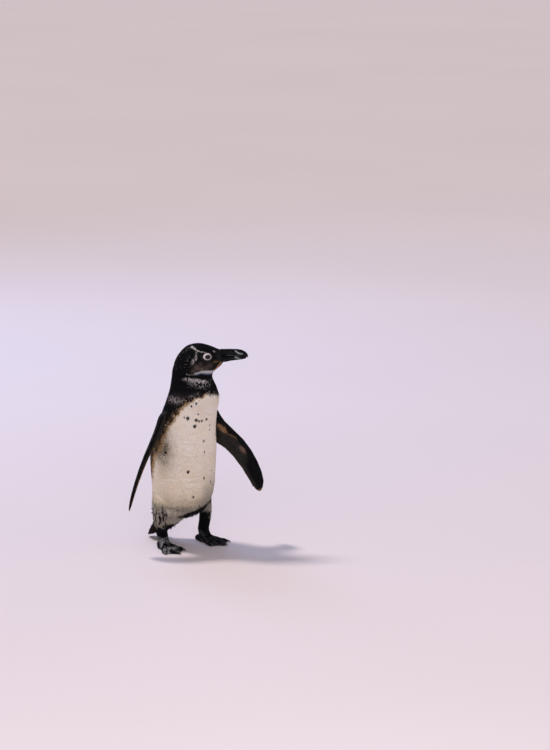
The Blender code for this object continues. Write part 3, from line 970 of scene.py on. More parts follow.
def plumage(points, normals, share):
    # every marking in its place, given how far a point belongs to each part
    colour = bodyMarks(points)
    _, left, up = bodyPlaces(points)
    onHead = smooth(0.342, 0.352, up) * smooth(0.3, 0.7, share["head"] + share["neck"])
    if onHead.any():
        colour = blended(colour, headMarks(points), onHead)
    colour = blended(colour, tailMarks(points), smooth(0.35, 0.65, share["tail"]))
    for side, sign in sides.items():
        here = left * sign > 0
        ragged = 0.006 * noiseAt(points, 0.007, 16)
        onLeg = smooth(0.35, 0.65, share["leg"] * here) * smooth(0.096, 0.082, up + ragged)
        onWing = smooth(0.35, 0.65, share["flipper"] * here)
        if onLeg.any():
            colour = blended(colour, legMarks(points, side), onLeg)
        if onWing.any():
            colour = blended(colour, wingMarks(points, normals, side), onWing)
    return colour


skinColours = plumage(skinPoints, skinNormals, skinShare)
print("markings painted")


def skinFinish():
    paint = Finish("bare hide under the coat", (0.3, 0.27, 0.24), 0.62)
    colour = paint.attribute("plumage", "Color")
    mottle = paint.grain(900.0, 2.0)
    paint.put("Base Color", paint.mix(mottle * 0.35, colour, (0.02, 0.018, 0.018)))
    paint.bumped(paint.grain(2600.0) + paint.cells(700.0), 0.0002, 0.6)
    return paint.material


def withAlpha(colour):
    return np.concatenate([colour, np.ones((len(colour), 1))], 1)


putAttribute(skinMesh, "plumage", withAlpha(skinColours), "FLOAT_COLOR")
showPiece("skin", skinMesh, skinFinish(), fleshNodes)

# the lie, length and stand of the coat at every point of the skin
coatLook = {
    "hemLift": 7.0,  # how much more the feathers stand out along the belly's hem
    "faceLength": 0.50,
    "bareRing": 0.94,
    "turn": 5.0,
    "spread": 0.18,
    "patch": 0.003,  # each feather's share of the map that the colours are kept on
}
billBase = {"ahead": 0.062, "up": 0.4180}


def layOfCoat():
    ahead, out, up = headPlaces(skinPoints)
    forward, left, _ = bodyPlaces(skinPoints)
    fromBill = (
        (ahead - billBase["ahead"])[:, None] * np.array(headAhead)
        + out[:, None] * np.array(headLeft)
        + (up - billBase["up"])[:, None] * np.array(upright)
    )
    onHead = skinShare["head"] * smooth(-0.040, 0.015, ahead)
    onHead *= smooth(0.384, 0.400, up + 0.25 * (ahead + 0.02))
    lie = unit(fromBill) * onHead[:, None] - np.array(upright) * (1 - onHead)[:, None]
    back = smooth(0.02, -0.05, forward) * smooth(0.30, 0.10, up)
    backwards = (0.30 * back + 0.75 * smooth(0.11, 0.075, up)) * skinShare["trunk"]
    lie += np.array((0, 1.0, 0)) * backwards[:, None]
    onTail = skinShare["tail"][:, None]
    lie = lie * (1 - onTail) + np.array((0, 0.80, -0.60)) * onTail
    for side, sign in sides.items():
        along, lead, _ = flipperFrames[side][1]
        wing = (skinShare["flipper"] * (left * sign > 0))[:, None]
        lie = lie * (1 - wing) + (along - 0.22 * lead) * wing
    lie = relaxed(lie, skinEdges, 12)
    lie -= skinNormals * (lie * skinNormals).sum(1)[:, None]
    return unit(lie)


def featherSizes():
    ahead, _, up = headPlaces(skinPoints)
    ring = np.minimum(ringDistance(skinPoints, "left"), ringDistance(skinPoints, "right"))
    small = np.minimum(smooth(0.9, 2.2, ring), smooth(0.062, 0.040, ahead))
    small = coatLook["faceLength"] + (1 - coatLook["faceLength"]) * small
    length = mixedBy(skinShare, "length")
    onHead = smooth(0.3, 0.7, skinShare["head"])
    length *= 1 + (small - 1) * onHead
    length *= 1 + 0.22 * smooth(0.13, 0.09, up) * skinShare["trunk"]
    hem = smooth(0.094, 0.078, up) * np.clip(skinShare["trunk"] + skinShare["leg"], 0, 1)
    lift = mixedBy(skinShare, "lift") + coatLook["hemLift"] * hem
    cover = smooth(coatLook["bareRing"], coatLook["bareRing"] + 0.06, ring)
    return length, length * mixedBy(skinShare, "slimness"), np.radians(lift), cover


skinLie = layOfCoat()
skinFeathers = featherSizes()
shareNames = ("head", "neck", "tail", "leg", "flipper")
skinFaces = [list(face.vertices) for face in skinMesh.polygons]
skinQuads = np.array([face + face[-1:] * (4 - len(face)) for face in skinFaces])


def patchOfSkin(name, wanted, longer=1.0, stand=0.0):
    # the skin's faces whose first corner is wanted, with all the coat needs
    quads = skinQuads[wanted[skinQuads[:, 0]]]
    used, renamed = np.unique(quads, return_inverse=True)
    corners = [list(dict.fromkeys(q)) for q in renamed.reshape(quads.shape).tolist()]
    mesh = bpy.data.meshes.new(name)
    mesh.from_pydata(skinPoints[used].tolist(), [], corners)
    putAttribute(mesh, "lie", skinLie[used], "FLOAT_VECTOR")
    putAttribute(mesh, "outwards", skinNormals[used], "FLOAT_VECTOR")
    long, wide, lift, cover = (values[used] for values in skinFeathers)
    given = {"long": long * longer, "wide": wide, "lift": lift + stand, "cover": cover}
    given.update({label + "Share": skinShare[label][used] for label in shareNames})
    for label, values in given.items():
        putAttribute(mesh, label, values)
    return mesh, used


# one feather: where its rings stand along it, how wide and how high they are
featherShapes = {
    "vane": ((0.24, 0.70, 0.040), (0.70, 1.00, 0.055)),
    "scale": ((0.30, 0.85, 0.050), (0.78, 0.80, 0.060)),
    "plume": ((0.16, 0.50, 0.030), (0.52, 1.00, 0.055), (0.86, 0.62, 0.040)),
}


def makeFeather(name, rings):
    # a slim closed blade with a ridged back, growing from the origin along Y
    points = [(0, 0, -0.03)]
    for place, width, ridge in rings:
        edge = ridge * 0.35 - 0.02
        points += [(-width / 2, place, edge), (0, place, ridge), (width / 2, place, edge)]
    points.append((0, 1, 0.015))
    last = len(points) - 1
    faces, flat = [], []  # flat holds each corner's place on the feather's patch
    heights = [0.0] + [ring[0] for ring in rings] + [1.0]
    for row, (low, high) in enumerate(zip(heights, heights[1:])):
        for side in range(3):
            here, after = 3 * row - 2 + side, 3 * row - 2 + (side + 1) % 3
            left, right = side / 3, (side + 1) / 3
            if row == 0:
                faces.append((0, after + 3, here + 3))
                flat += [((left + right) / 2, low), (right, high), (left, high)]
            elif row == len(rings):
                faces.append((here, after, last))
                flat += [(left, low), (right, low), ((left + right) / 2, high)]
            else:
                faces.append((here, after, after + 3, here + 3))
                flat += [(left, low), (right, low), (right, high), (left, high)]
    mesh = bpy.data.meshes.new(name)
    mesh.from_pydata(points, [], faces)
    mesh.validate()
    putAttribute(mesh, "along", [point[1] for point in points])
    return addObject(name, mesh), np.array(flat)


def coatTree():
    tree = bpy.data.node_groups.new("feather coat", "GeometryNodeTree")
    inputs = {
        "Geometry": "Geometry",
        "Gap": "Float",
        "Seed": "Int",
        "Turn": "Float",
        "Spread": "Float",
        "Feather": "Object",
        "Finish": "Material",
    }
    for name, kind in inputs.items():
        tree.interface.new_socket(name, in_out="INPUT", socket_type="NodeSocket" + kind)
    tree.interface.new_socket("Geometry", in_out="OUTPUT", socket_type="NodeSocketGeometry")
    group = addNode(tree, "NodeGroupInput")
    given = {name: outOf(group, name) for name in inputs}

    def add(kind, settings=None, sockets=None, output=None):
        return outOf(addNode(tree, kind, settings, sockets), output)

    def read(name, kind="FLOAT"):
        return add("GeometryNodeInputNamedAttribute", {"data_type": kind}, {"Name": name})

    def wild(seed, low, high):
        sockets = {"Min": low, "Max": high, "Seed": seed}
        return add("FunctionNodeRandomValue", {"data_type": "FLOAT"}, sockets)

    sockets = {
        "Mesh": given["Geometry"],
        "Distance Min": given["Gap"],
        "Density Max": 4.0 / (given["Gap"] * given["Gap"]),
        "Density Factor": read("cover"),
        "Seed": given["Seed"],
    }
    method = {"distribute_method": "POISSON"}
    roots = add("GeometryNodeDistributePointsOnFaces", method, sockets, "Points")
    sockets = {"Geometry": roots, "Selection": read("keep") - 0.5}
    kept = add("GeometryNodeSeparateGeometry", {"domain": "POINT"}, sockets, "Selection")
    sockets = {
        "Primary Axis": read("outwards", "FLOAT_VECTOR"),
        "Secondary Axis": read("lie", "FLOAT_VECTOR"),
    }
    axes = {"primary_axis": "Z", "secondary_axis": "Y"}
    stand = add("FunctionNodeAxesToRotation", axes, sockets)
    tilt = {
        "X": read("lift") * wild(11, 0.7, 1.3),
        "Y": given["Turn"] * wild(12, -0.8, 0.8),
        "Z": given["Turn"] * wild(13, -1.0, 1.0),
    }
    angles = add("ShaderNodeCombineXYZ", None, tilt)
    tilted = add("FunctionNodeEulerToRotation", None, {"Euler": angles})
    sockets = {"Rotation": stand, "Rotate By": tilted}
    turned = add("FunctionNodeRotateRotation", {"rotation_space": "LOCAL"}, sockets)
    long = read("long") * (1 + given["Spread"] * wild(14, -1.0, 1.0))
    wide = read("wide") * (1 + given["Spread"] * wild(15, -1.0, 1.0))
    size = add("ShaderNodeCombineXYZ", None, {"X": wide, "Y": long, "Z": long})
    feather = {"Object": given["Feather"]}
    sockets = {
        "Points": kept,
        "Instance": add("GeometryNodeObjectInfo", None, feather, "Geometry"),
        "Rotation": turned,
        "Scale": size,
    }
    placed = add("GeometryNodeInstanceOnPoints", None, sockets)
    whole = add("GeometryNodeRealizeInstances", None, {"Geometry": placed})
    sockets = {"Geometry": whole, "Material": given["Finish"]}
    done = add("GeometryNodeSetMaterial", None, sockets)
    addNode(tree, "NodeGroupOutput", None, {"Geometry": done})
    return tree


def runTree(helper, tree, values):
    # settings go in by each socket's identifier, before anything is evaluated
    modifier = helper.modifiers.new("coat", "NODES")
    modifier.node_group = tree
    for item in tree.interface.items_tree:
        if item.in_out == "INPUT" and item.name in values:
            modifier[item.identifier] = values[item.name]
    return takenFrom(helper)


def coatFinish(name, roughness, rootShade):
    # the marking's colour, with painted shade at each root where the feathers overlap, and uneven
    # from feather to feather
    paint = Finish(name + " feathers", (0.3, 0.28, 0.26), roughness, Specular_IOR_Level=0.03)
    colour = paint.attribute("plumage", "Color")
    tone = paint.attribute("tone")
    along = paint.attribute("along")
    shaded = paint.mix((1 - along) * rootShade, colour, (0.010, 0.008, 0.007))
    lifted = paint.mix(tone * 0.12, shaded, (0.90, 0.86, 0.84), "SOFT_LIGHT")
    deepened = paint.mix((1 - tone) * 0.12, lifted, (0.25, 0.22, 0.20), "MULTIPLY")
    barbs = paint.grain(1700.0, 2.0, 0.6)
    paint.put("Base Color", paint.mix(barbs * 0.06, deepened, (0.02, 0.018, 0.018)))
    paint.put("Roughness", barbs.ranged(0.3, 0.7, roughness - 0.08, roughness + 0.10))
    paint.bumped(paint.grain(3200.0, 2.0), 0.00012, 0.5)
    return paint.material


def attributeOf(mesh, name):
    values = np.empty(len(mesh.vertices), np.float32)
    mesh.attributes[name].data.foreach_get("value", values)
    return values.astype(float)


def growCoat(name, patch, keep, kind, chart, slot):
    # the feathers over a patch of skin that this piece keeps, so that pieces
    # grown from one patch meet without a seam
    look = coatKinds[kind]
    feather, corners = feathers[look["feather"]]
    mesh = patch[0].copy()
    putAttribute(mesh, "keep", keep[patch[1]])
    values = {
        "Gap": look["gap"] * 1,
        "Seed": look["seed"],
        "Turn": math.radians(coatLook["turn"]),
        "Spread": coatLook["spread"],
        "Feather": feather,
        "Finish": coatFinishes[look["finish"]],
    }
    mesh = runTree(addObject(name + "_roots", mesh), featherCoat, values)
    each = len(feather.data.vertices)
    points = pointsOf(mesh).reshape(-1, each, 3)
    roots, tips = points[:, 0], points[:, -1]
    share = {label: attributeOf(mesh, label + "Share")[::each] for label in shareNames}
    up = np.cross(points[:, 3] - points[:, 1], tips - roots)
    colour = plumage(roots * 0.3 + tips * 0.7, unit(up), share)
    tone = np.random.default_rng(look["seed"]).random(len(roots))
    spent = ["lie", "outwards", "long", "wide", "lift", "cover", "keep"]
    for label in spent + [label + "Share" for label in shareNames]:
        mesh.attributes.remove(mesh.attributes[label])
    putAttribute(mesh, "plumage", np.repeat(withAlpha(colour), each, 0), "FLOAT_COLOR")
    putAttribute(mesh, "tone", np.repeat(tone, each))
    layPatches(mesh, chart(roots), corners)
    mesh.name = name
    showPiece(name, mesh)
    mesh.calc_loop_triangles()
    print(name, "has", len(roots), "feathers,", len(mesh.loop_triangles), "triangles")


def layPatches(mesh, places, corners):
    # a patch for every feather, at its root's place
    patch = coatLook["patch"]
    places = np.clip(places, 0, 1) * (1 - 2 * patch) + patch / 2
    flat = places[:, None, :] + corners[None] * patch
    layer = mesh.uv_layers.new(name="OFBake")
    layer.data.foreach_set("uv", np.ascontiguousarray(flat, np.float32).ravel())


def roundChart(middle, stretch):
    # turns and heights of a rounded form about its own middle
    def chart(points):
        offset = (points - np.array(middle)) / np.array((1, 1, stretch))
        turn = np.arctan2(offset[:, 0], -offset[:, 1]) / (2 * math.pi) + 0.5
        rise = np.arctan2(offset[:, 2], np.hypot(offset[:, 0], offset[:, 1]))
        rise = rise / math.pi + 0.5
        return np.stack([spanned(turn), spanned(rise)], 1)

    return chart


def spanned(values):
    return (values - values.min()) / (values.max() - values.min())


def flipperChart(side):
    # the outer face fills one half of the square and the inner face the other
    def chart(points):
        far, margin = acrossBlade(points, side)
        out = alongFlipper(points, side)[2]
        bands = np.round(np.clip(far, 0, 1) * 24)
        level = np.zeros(len(points))
        for band in np.unique(bands):
            here = bands == band
            degree = 1 if here.sum() > 8 else 0
            level[here] = np.polyval(np.polyfit(margin[here], out[here], degree), margin[here])
        half = np.where(out > level, 0.0, 0.52)
        return np.stack([half + 0.46 * np.clip(margin, 0, 1), np.clip(far, 0, 1)], 1)

    return chart


# each kind of coat: its feather, how far apart they grow, its seed and finish
coatKinds = {
    "body": {"feather": "vane", "gap": 0.00119, "seed": 21, "finish": "body"},
    "head": {"feather": "scale", "gap": 0.00080, "seed": 29, "finish": "head"},
    "tail": {"feather": "plume", "gap": 0.00160, "seed": 30, "finish": "body"},
    "flipper": {"feather": "scale", "gap": 0.00108, "seed": 34, "finish": "flipper"},
    "tufts": {"feather": "plume", "gap": 0.00680, "seed": 39, "finish": "body"},
}
# each finish: its roughness, and how much painted shade darkens the feathers' roots
coatTones = {"body": (0.56, 0.12), "head": (0.50, 0.12), "flipper": (0.48, 0.10)}
tuftLook = {"longer": 1.35, "stand": math.radians(12)}
# from which height to which each pair of pieces reaches, front and back
coatLevels = (
    (0.252, 0.400, "breast", "mantle"),
    (0.170, 0.252, "belly", "back"),
    (0.000, 0.170, "vent", "rump"),
)


def growWholeCoat():
    forward, left, up = bodyPlaces(skinPoints)
    part = np.array([fleshNodes[o].split("_")[0] for o in skinOwner])
    trunk, neck, leg = part == "trunk", part == "neck", part == "leg"
    middle = middleOf("trunk")
    front = -(skinPoints[:, 1] - middle.y) > 0
    trunkRound = roundChart(middle, 1.7)

    # one even coat over trunk, neck and legs, parted along ragged lines
    wavy = up + 0.010 * noiseAt(skinPoints, 0.020, 51) + 0.004 * noiseAt(skinPoints, 0.006, 52)
    body = patchOfSkin("body_roots", trunk | leg | neck)
    pieces = []
    for bottom, top, frontName, backName in coatLevels:
        level = trunk & (wavy > bottom) & (wavy <= top)
        pieces.append((frontName, body, level & front, "body", trunkRound, "body"))
        pieces.append((backName, body, level & ~front, "body", trunkRound, "body"))
    pieces.append(("neck", body, neck, "body", roundChart(middleOf("neck"), 0.8), "body"))
    for side, sign in sides.items():
        chart = roundChart(middleOf("leg_" + side), 1.5)
        pieces.append(("leg_" + side, body, leg & (left * sign > 0), "body", chart, "leg"))

    for name, stretch in (("head", 1.0), ("tail", 0.6)):
        patch = patchOfSkin(name + "_roots", part == name)
        chart = roundChart(middleOf(name), stretch)
        pieces.append((name, patch, part == name, name, chart, name))
    # a few long ruffled feathers behind the legs and along the belly's hem
    ruffled = (up < 0.108) & (forward < -0.035) & (leg | trunk)
    ruffled |= trunk & (up < 0.086) & (forward > -0.01)
    patch = patchOfSkin("tufts_roots", ruffled, **tuftLook)
    pieces.append(("tufts", patch, ruffled, "tufts", trunkRound, "body"))
    for side, sign in sides.items():
        wing = (part == "flipper") & (left * sign > 0)
        patch = patchOfSkin("flipper_roots", wing)
        pieces.append(("flipper_" + side, patch, wing, "flipper", flipperChart(side), "flipper"))
    for name, patch, keep, kind, chart, slot in pieces:
        growCoat("coat_" + name, patch, keep, kind, chart, slot + "_plumage")


feathers = {name: makeFeather(name, rings) for name, rings in featherShapes.items()}
coatFinishes = {name: coatFinish(name, *tones) for name, tones in coatTones.items()}
featherCoat = coatTree()
growWholeCoat()
for shape, _ in feathers.values():
    bpy.data.objects.remove(shape)
print("coat grown")

# the tail's long stiff feathers, laid like a closed fan over its core
tailLook = {
    "count": 13,
    "length": 0.046,
    "width": 0.0072,
    "thickness": 0.0007,
    "bend": 0.0015,
    "rows": 14,
    # where the fan starts and ends: forward, up
    "root": (-0.0800, 0.0420),
    "tip": (-0.1262, 0.0080),
    "halfWidth": 0.0165,
}


def longVane():
    # a stiff feather: a closed blade with a shaft along it, rounded at the end
    look = tailLook
    points, faces = [], []
    across = (-1.0, -0.55, 0.0, 0.55, 1.0)
    rows, ring = look["rows"], 2 * len(across)
    for row in range(rows + 1):
        share = row / rows
        half = look["width"] / 2 * min(1, 0.35 + 2.2 * share) * math.sqrt(max(1 - share**5, 0.004))
        for side in (1, -1):
            for place in across[::side]:
                height = look["thickness"] / 2 * (1 - 0.75 * abs(place)) * side
                if side == 1:
                    height += look["thickness"] * 0.9 * (1 - share) * math.exp(-((place / 0.25) ** 2))
                height -= 0.0010 * place * place + look["bend"] * share * share
                points.append((place * half, share * look["length"], height))
    for row in range(rows):
        for k in range(ring):
            a, b = row * ring + k, row * ring + (k + 1) % ring
            faces.append((a, a + ring, b + ring, b))
    faces.append(tuple(range(ring)))
    faces.append(tuple(reversed(range(rows * ring, (rows + 1) * ring))))
    return points, faces


def stiffFinish():
    paint = Finish("stiff tail feathers", (0.02, 0.018, 0.018), 0.45)
    streak = paint.grain(600.0, 3.0, 0.6, (1.0, 0.12, 0.12))
    worn = paint.grain(140.0, 2.0)
    dark = paint.mix(streak.ranged(0.35, 0.7), (0.010, 0.010, 0.013), (0.045, 0.036, 0.030))
    paint.put("Base Color", paint.mix(worn.ranged(0.52, 0.75) * 0.5, dark, (0.10, 0.075, 0.055)))
    paint.bumped(streak, 0.0002, 0.7)
    return paint.material


def bodyPoint(forward, left, up):
    return Vector((neckAxis.x + left, neckAxis.y - forward, up))


def makeTailVanes():
    look = tailLook
    (rootForward, rootUp), (tipForward, tipUp) = look["root"], look["tip"]
    shape, shapeFaces = longVane()
    points, faces = [], []
    for index in range(look["count"]):
        share = index / (look["count"] - 1) * 2 - 1  # -1 on its right, 1 on its left
        layer = 1 - abs(share)  # the middle feather lies on top
        spread = share * look["halfWidth"]
        start = bodyPoint(rootForward, spread * 0.75, rootUp + 0.002 * layer)
        end = bodyPoint(tipForward, spread * 0.95, tipUp + 0.0012 * layer)
        along = (end - start).normalized()
        side = (Vector((1, 0, 0)) - along * along.x).normalized()
        up = (side - upright * share * 0.35).cross(along).normalized()
        turn = Matrix((along.cross(up), along, up)).transposed()
        longer = Vector((1, 0.80 + 0.35 * layer, 1))
        faces += [[len(points) + corner for corner in face] for face in shapeFaces]
        points += [turn @ (Vector(point) * longer) + start for point in shape]
    showPiece("tail_vanes", closedMesh("tail_vanes", points, faces), stiffFinish())


makeTailVanes()
print("tail feathers laid")

# the bill: two horny sheaths with grooves, a nostril, a hook and a pale band
billLook = {
    "voxel": 0.00045,
    "smoothing": 10,
    "groove": 0.00045,
    "nostril": 0.0008,
    "plateEdge": 0.00025,
    "rolledEdge": 0.0003,  # how deep the cutting edge is rolled in
    "growthLines": 0.00008,
    "closing": 0.0009,  # how far the lower half's top rises into the upper half
    "closingBelow": -0.3,  # and the upper half's underside, as a share of that
}
# lines on the side of the bill: ahead, up
billPaths = {
    "nostril": ((0.0690, 0.4262), (0.0745, 0.4246)),
    "ridgeGroove": (
        (0.0745, 0.4244), (0.0850, 0.4252), (0.0960, 0.4250),
        (0.1050, 0.4228), (0.1110, 0.4185),
    ),
    "lowGroove": ((0.0640, 0.4098), (0.0760, 0.4108), (0.0880, 0.4122), (0.0985, 0.4130)),
    "plateEdge": ((0.0640, 0.4300), (0.0700, 0.4240), (0.0735, 0.4182)),
    "highBand": (
        (0.0944, 0.4291), (0.0966, 0.4273), (0.0994, 0.4252),
        (0.1032, 0.4237), (0.1088, 0.4226),
    ),
    "lowBand": ((0.0945, 0.4155), (0.0975, 0.4142), (0.1010, 0.4124), (0.1050, 0.4112)),
    "paleLine": ((0.0764, 0.4207), (0.0913, 0.4192), (0.1000, 0.4200), (0.1093, 0.4210)),
}


def sideGroove(face, path, width):
    # nearness to a line drawn on the side of the bill
    flat = face[:, [0, 2]]
    distance, along = awayFrom(flat, billPaths[path])
    return bump(distance, width), along


def billFinish(name):
    paint = Finish(name, (0.02, 0.02, 0.024), 0.42, Specular_IOR_Level=0.03)
    band, dusty = paint.attribute("band"), paint.attribute("dry")
    streak = paint.grain(420.0, 4.0, 0.6)
    blotch = paint.grain(120.0, 2.0)
    dark = paint.mix(streak.ranged(0.35, 0.75), (0.0012, 0.0012, 0.0022), (0.0035, 0.0035, 0.0055))
    pale = paint.mix(blotch.ranged(0.35, 0.65), (0.30, 0.32, 0.34), (0.50, 0.52, 0.54))
    banded = paint.mix((band + (streak - 0.5) * 0.3).clamped(), dark, pale)
    paint.put("Base Color", paint.mix(dusty * 0.2, banded, (0.04, 0.04, 0.05)))
    paint.put("Roughness", streak.ranged(0.3, 0.7, 0.40, 0.56))
    paint.bumped(streak + paint.grain(2400.0) * 0.4, 0.00012, 0.6)
    return paint.material


def makeBill(node):
    look = billLook
    mesh = remeshed(node + "_sheath", [node], look["voxel"])
    points, edges = pointsOf(mesh), edgesOf(mesh)
    for _ in range(look["smoothing"]):
        points = relaxed(relaxed(points, edges, 1, 0.6), edges, 1, -0.62)
    setPoints(mesh, points)
    face = mirrored(points)
    ahead, out, up = face.T
    aside = smooth(0.0012, 0.0030, out)
    isUpper = node == "upper_bill"
    if isUpper:
        groove, along = sideGroove(face, "ridgeGroove", 0.0006)
        nostril, _ = sideGroove(face, "nostril", 0.0009)
        plate, _ = sideGroove(face, "plateEdge", 0.0005)
        dent = look["groove"] * groove * (1 - 0.4 * along)
        dent += look["nostril"] * nostril + look["plateEdge"] * plate
        rolled = smooth(0.4196, 0.4180, up)
    else:
        groove, _ = sideGroove(face, "lowGroove", 0.0007)
        dent = look["groove"] * groove
        rolled = smooth(0.4158, 0.4172, up)
    dent += look["rolledEdge"] * rolled
    grown = look["growthLines"] * np.sin(ahead / 0.0011 + 3 * noiseAt(points, 0.012, 40))
    normals = normalsOf(mesh)
    points -= normals * (dent * aside + grown)[:, None]
    # the halves reach into each other, so that no light shows between
    facing = normals[:, 2] * (-1 if isUpper else 1)
    inward = smooth(0.55, 0.85, facing) * smooth(0.1225, 0.1190, ahead)
    points[:, 2] += look["closing"] * inward * (look["closingBelow"] if isUpper else 1)
    setPoints(mesh, points)
    high, along = sideGroove(face, "highBand", 0.0013)
    band = high * np.interp(along, (0, 0.4, 1), (0.95, 1.0, 0.40))
    low, along = sideGroove(face, "lowBand", 0.0020)
    band = np.maximum(band, low * np.interp(along, (0, 0.6, 1), (0.50, 0.45, 0.15)))
    band = np.maximum(band, 0.16 * sideGroove(face, "paleLine", 0.0006)[0])
    putAttribute(mesh, "band", band * smooth(0.0016, 0.0034, out))
    putAttribute(mesh, "dry", groove * aside)
    showPiece(node + "_sheath", mesh, billFinish(node + " horn"), [node])


for node in ("upper_bill", "lower_bill"):
    makeBill(node)
print("bill shaped")

# eyes and the bare ring of skin that holds them
eyeLook = {
    "ball": 0.0081,
    "cornea": 0.0005,  # how far the clear front stands out
    "iris": 0.0058,
    "pupil": 0.0027,
}
lidLook = {
    "long": 0.0057,  # the opening, from its middle ahead and up
    "high": 0.0045,
    "overlap": 1.06,  # how far the ring runs under the feathers
    "lip": 0.0004,
    "rimDrop": 0.0007,
    "standing": 0.0003,  # how far the ring stands above the head's side
    "diving": 0.0026,  # how deep its outer edge lies under the feathers
    "softening": 0.0007,
    "wrinkle": 0.00016,
    "thickness": (0.0016, 0.0012),  # at the outer edge and at the opening
    "palest": math.radians(125),  # round the ring, from ahead towards the crown
    "rows": 22,
    "columns": 96,
}


def eyeFinish():
    look = eyeLook
    paint = Finish("wet dark eye", (0.02, 0.012, 0.008), 0.16, Specular_IOR_Level=0.2)
    off = paint.attribute("offAxis")
    streak = paint.grain(1500.0, 3.0, 0.7)
    iris = paint.mix(streak.ranged(0.3, 0.7), (0.003, 0.0022, 0.002), (0.010, 0.007, 0.005))
    inIris = off.ranged(look["pupil"], look["pupil"] + 0.0003)
    coloured = paint.mix(inIris, (0.002, 0.002, 0.003), iris)
    rim = off.ranged(look["iris"] - 0.0006, look["iris"] + 0.0002)
    paint.put("Base Color", paint.mix(rim, coloured, (0.006, 0.005, 0.005)))
    return paint.material


def makeEye(side, finish):
    look = eyeLook
    centre, looks, across, _ = eyeAxes(side)
    bm = bmesh.new()
    bmesh.ops.create_uvsphere(bm, u_segments=64, v_segments=48, radius=1)
    turn = Matrix((across, looks.cross(across), looks)).transposed()
    off = []
    for vert in bm.verts:
        outward = math.hypot(vert.co.x, vert.co.y) * look["ball"]
        front = vert.co.z > 0
        bulge = look["cornea"] * max(0, 1 - (outward / look["iris"]) ** 2) if front else 0
        vert.co = turn @ (vert.co * look["ball"] + Vector((0, 0, bulge))) + centre
        off.append(outward if front else look["ball"])
    bmesh.ops.recalc_face_normals(bm, faces=bm.faces)
    name = "eyeball_" + side
    mesh = meshOf(name, bm)
    putAttribute(mesh, "offAxis", off)
    showPiece(name, mesh, finish, ["eye_" + side])


def lidFinish():
    paint = Finish("bare skin round the eye", (0.42, 0.30, 0.29), 0.5)
    # painted shade: the skin darker in its creases, along the opening and on its hidden walls
    depth = paint.attribute("creaseShade")
    pale = paint.attribute("pale") + (paint.grain(500.0, 3.0) - 0.5) * 0.5
    flesh = paint.mix(pale.clamped(), (0.26, 0.205, 0.215), (0.66, 0.580, 0.640))
    paint.put("Base Color", paint.mix(depth.clamped() * 0.3, flesh, (0.05, 0.036, 0.038)))
    paint.bumped(paint.grain(3000.0) + paint.cells(1800.0), 0.0001, 0.7)
    return paint.material


def ovalPoint(look, turn, growth=1.0):
    return Vector((look["long"] * growth * math.cos(turn), look["high"] * growth * math.sin(turn)))


def headHeight(side):
    # the side of the head under the ring, as a smooth bowl above the eye's middle
    centre, looks, across, rise = eyeAxes(side)
    solid = mergedCopy("head")
    tree = BVHTree.FromBMesh(solid)
    solid.free()
    rows, heights = [], []
    for reach in (0.0072, 0.0088, 0.0105, 0.0120):
        for step in range(24):
            a, b = ovalPoint({"long": reach, "high": reach}, 2 * math.pi * step / 24)
            spot = centre + across * a + rise * b + looks * 0.03
            hit = tree.ray_cast(spot, -looks)[0]
            if hit:
                rows.append((1, a, b, a * a, a * b, b * b))
                heights.append((hit - centre).dot(looks))
    fit = np.linalg.lstsq(np.array(rows), np.array(heights), rcond=None)[0]
    return lambda a, b: float(np.dot(fit, (1, a, b, a * a, a * b, b * b)))


def lidPoint(level, share, turn):
    # a place on the ring, its height above the eye's middle, and the painted shade in its creases
    look = lidLook
    outer = ovalPoint(eyeRing, turn, look["overlap"])
    spot = ovalPoint(look, turn).lerp(outer, share)
    ball = math.sqrt(max(eyeLook["ball"] ** 2 - spot.length_squared, 0))
    head = level(*spot) + look["standing"] - look["diving"] * share**4
    apart = math.hypot(ball - head, look["softening"])
    height = (ball + head + apart) / 2 if share < 1 else head
    height += look["lip"] * math.exp(-(((share - 0.10) / 0.10) ** 2))
    around = Vector((math.cos(turn), math.sin(turn), 0))
    wave = math.sin(share * 34 + 1.6 * noise.noise(around * 1.5))
    radial = noise.noise(around * 5 + upright * share * 2)
    height += look["wrinkle"] * (0.6 * wave + 0.8 * radial) * math.sin(math.pi * share)
    # painted shade in the wrinkles' valleys and along the opening
    creaseShade = max(0.0, -0.6 * wave - 0.8 * radial - 0.25) + math.exp(-((share / 0.05) ** 2))
    return spot, height - (look["rimDrop"] if share == 0 else 0), creaseShade


def makeLid(side, finish):
    look = lidLook
    centre, looks, across, rise = eyeAxes(side)
    level = headHeight(side)
    rows, columns = look["rows"], look["columns"]
    points, creaseShade, pale = [], [], []
    for row in range(rows + 1):
        for column in range(columns):
            turn = 2 * math.pi * column / columns
            spot, height, depth = lidPoint(level, row / rows, turn)
            points.append(centre + across * spot.x + rise * spot.y + looks * height)
            creaseShade.append(depth)
            pale.append(0.5 + 0.5 * math.cos(turn - look["palest"]))
    front = len(points)
    for row, thickness in zip((rows, 0), look["thickness"]):
        edge = points[row * columns : (row + 1) * columns]
        points += [point - looks * thickness for point in edge]
        # the hidden walls at the ring's edges take full painted shade
        creaseShade += [1.0] * columns
        pale += [0.0] * columns
    strips = [(r * columns, (r + 1) * columns) for r in range(rows)]
    strips += [(rows * columns, front), (front, front + columns), (front + columns, 0)]
    faces = []
    for low, high in strips:
        for here in range(columns):
            after = (here + 1) % columns
            faces.append((low + here, low + after, high + after, high + here))
    name = "eyelids_" + side
    mesh = closedMesh(name, points, faces)
    putAttribute(mesh, "creaseShade", creaseShade)
    putAttribute(mesh, "pale", pale)
    showPiece(name, mesh, finish)


eyeGloss, lidSkin = eyeFinish(), lidFinish()
for side in sides:
    makeEye(side, eyeGloss)
    makeLid(side, lidSkin)
print("eyes set")

# feet: scaly black skin over toes and web, with dry pale flecks, and the claws
footLook = {
    "voxel": 0.0008,
    "scaleSize": 0.0017,
    "scaleHeight": 0.00028,
    "dust": {"right": 1.0, "left": 0.12},
    "clawVoxel": 0.00035,
}


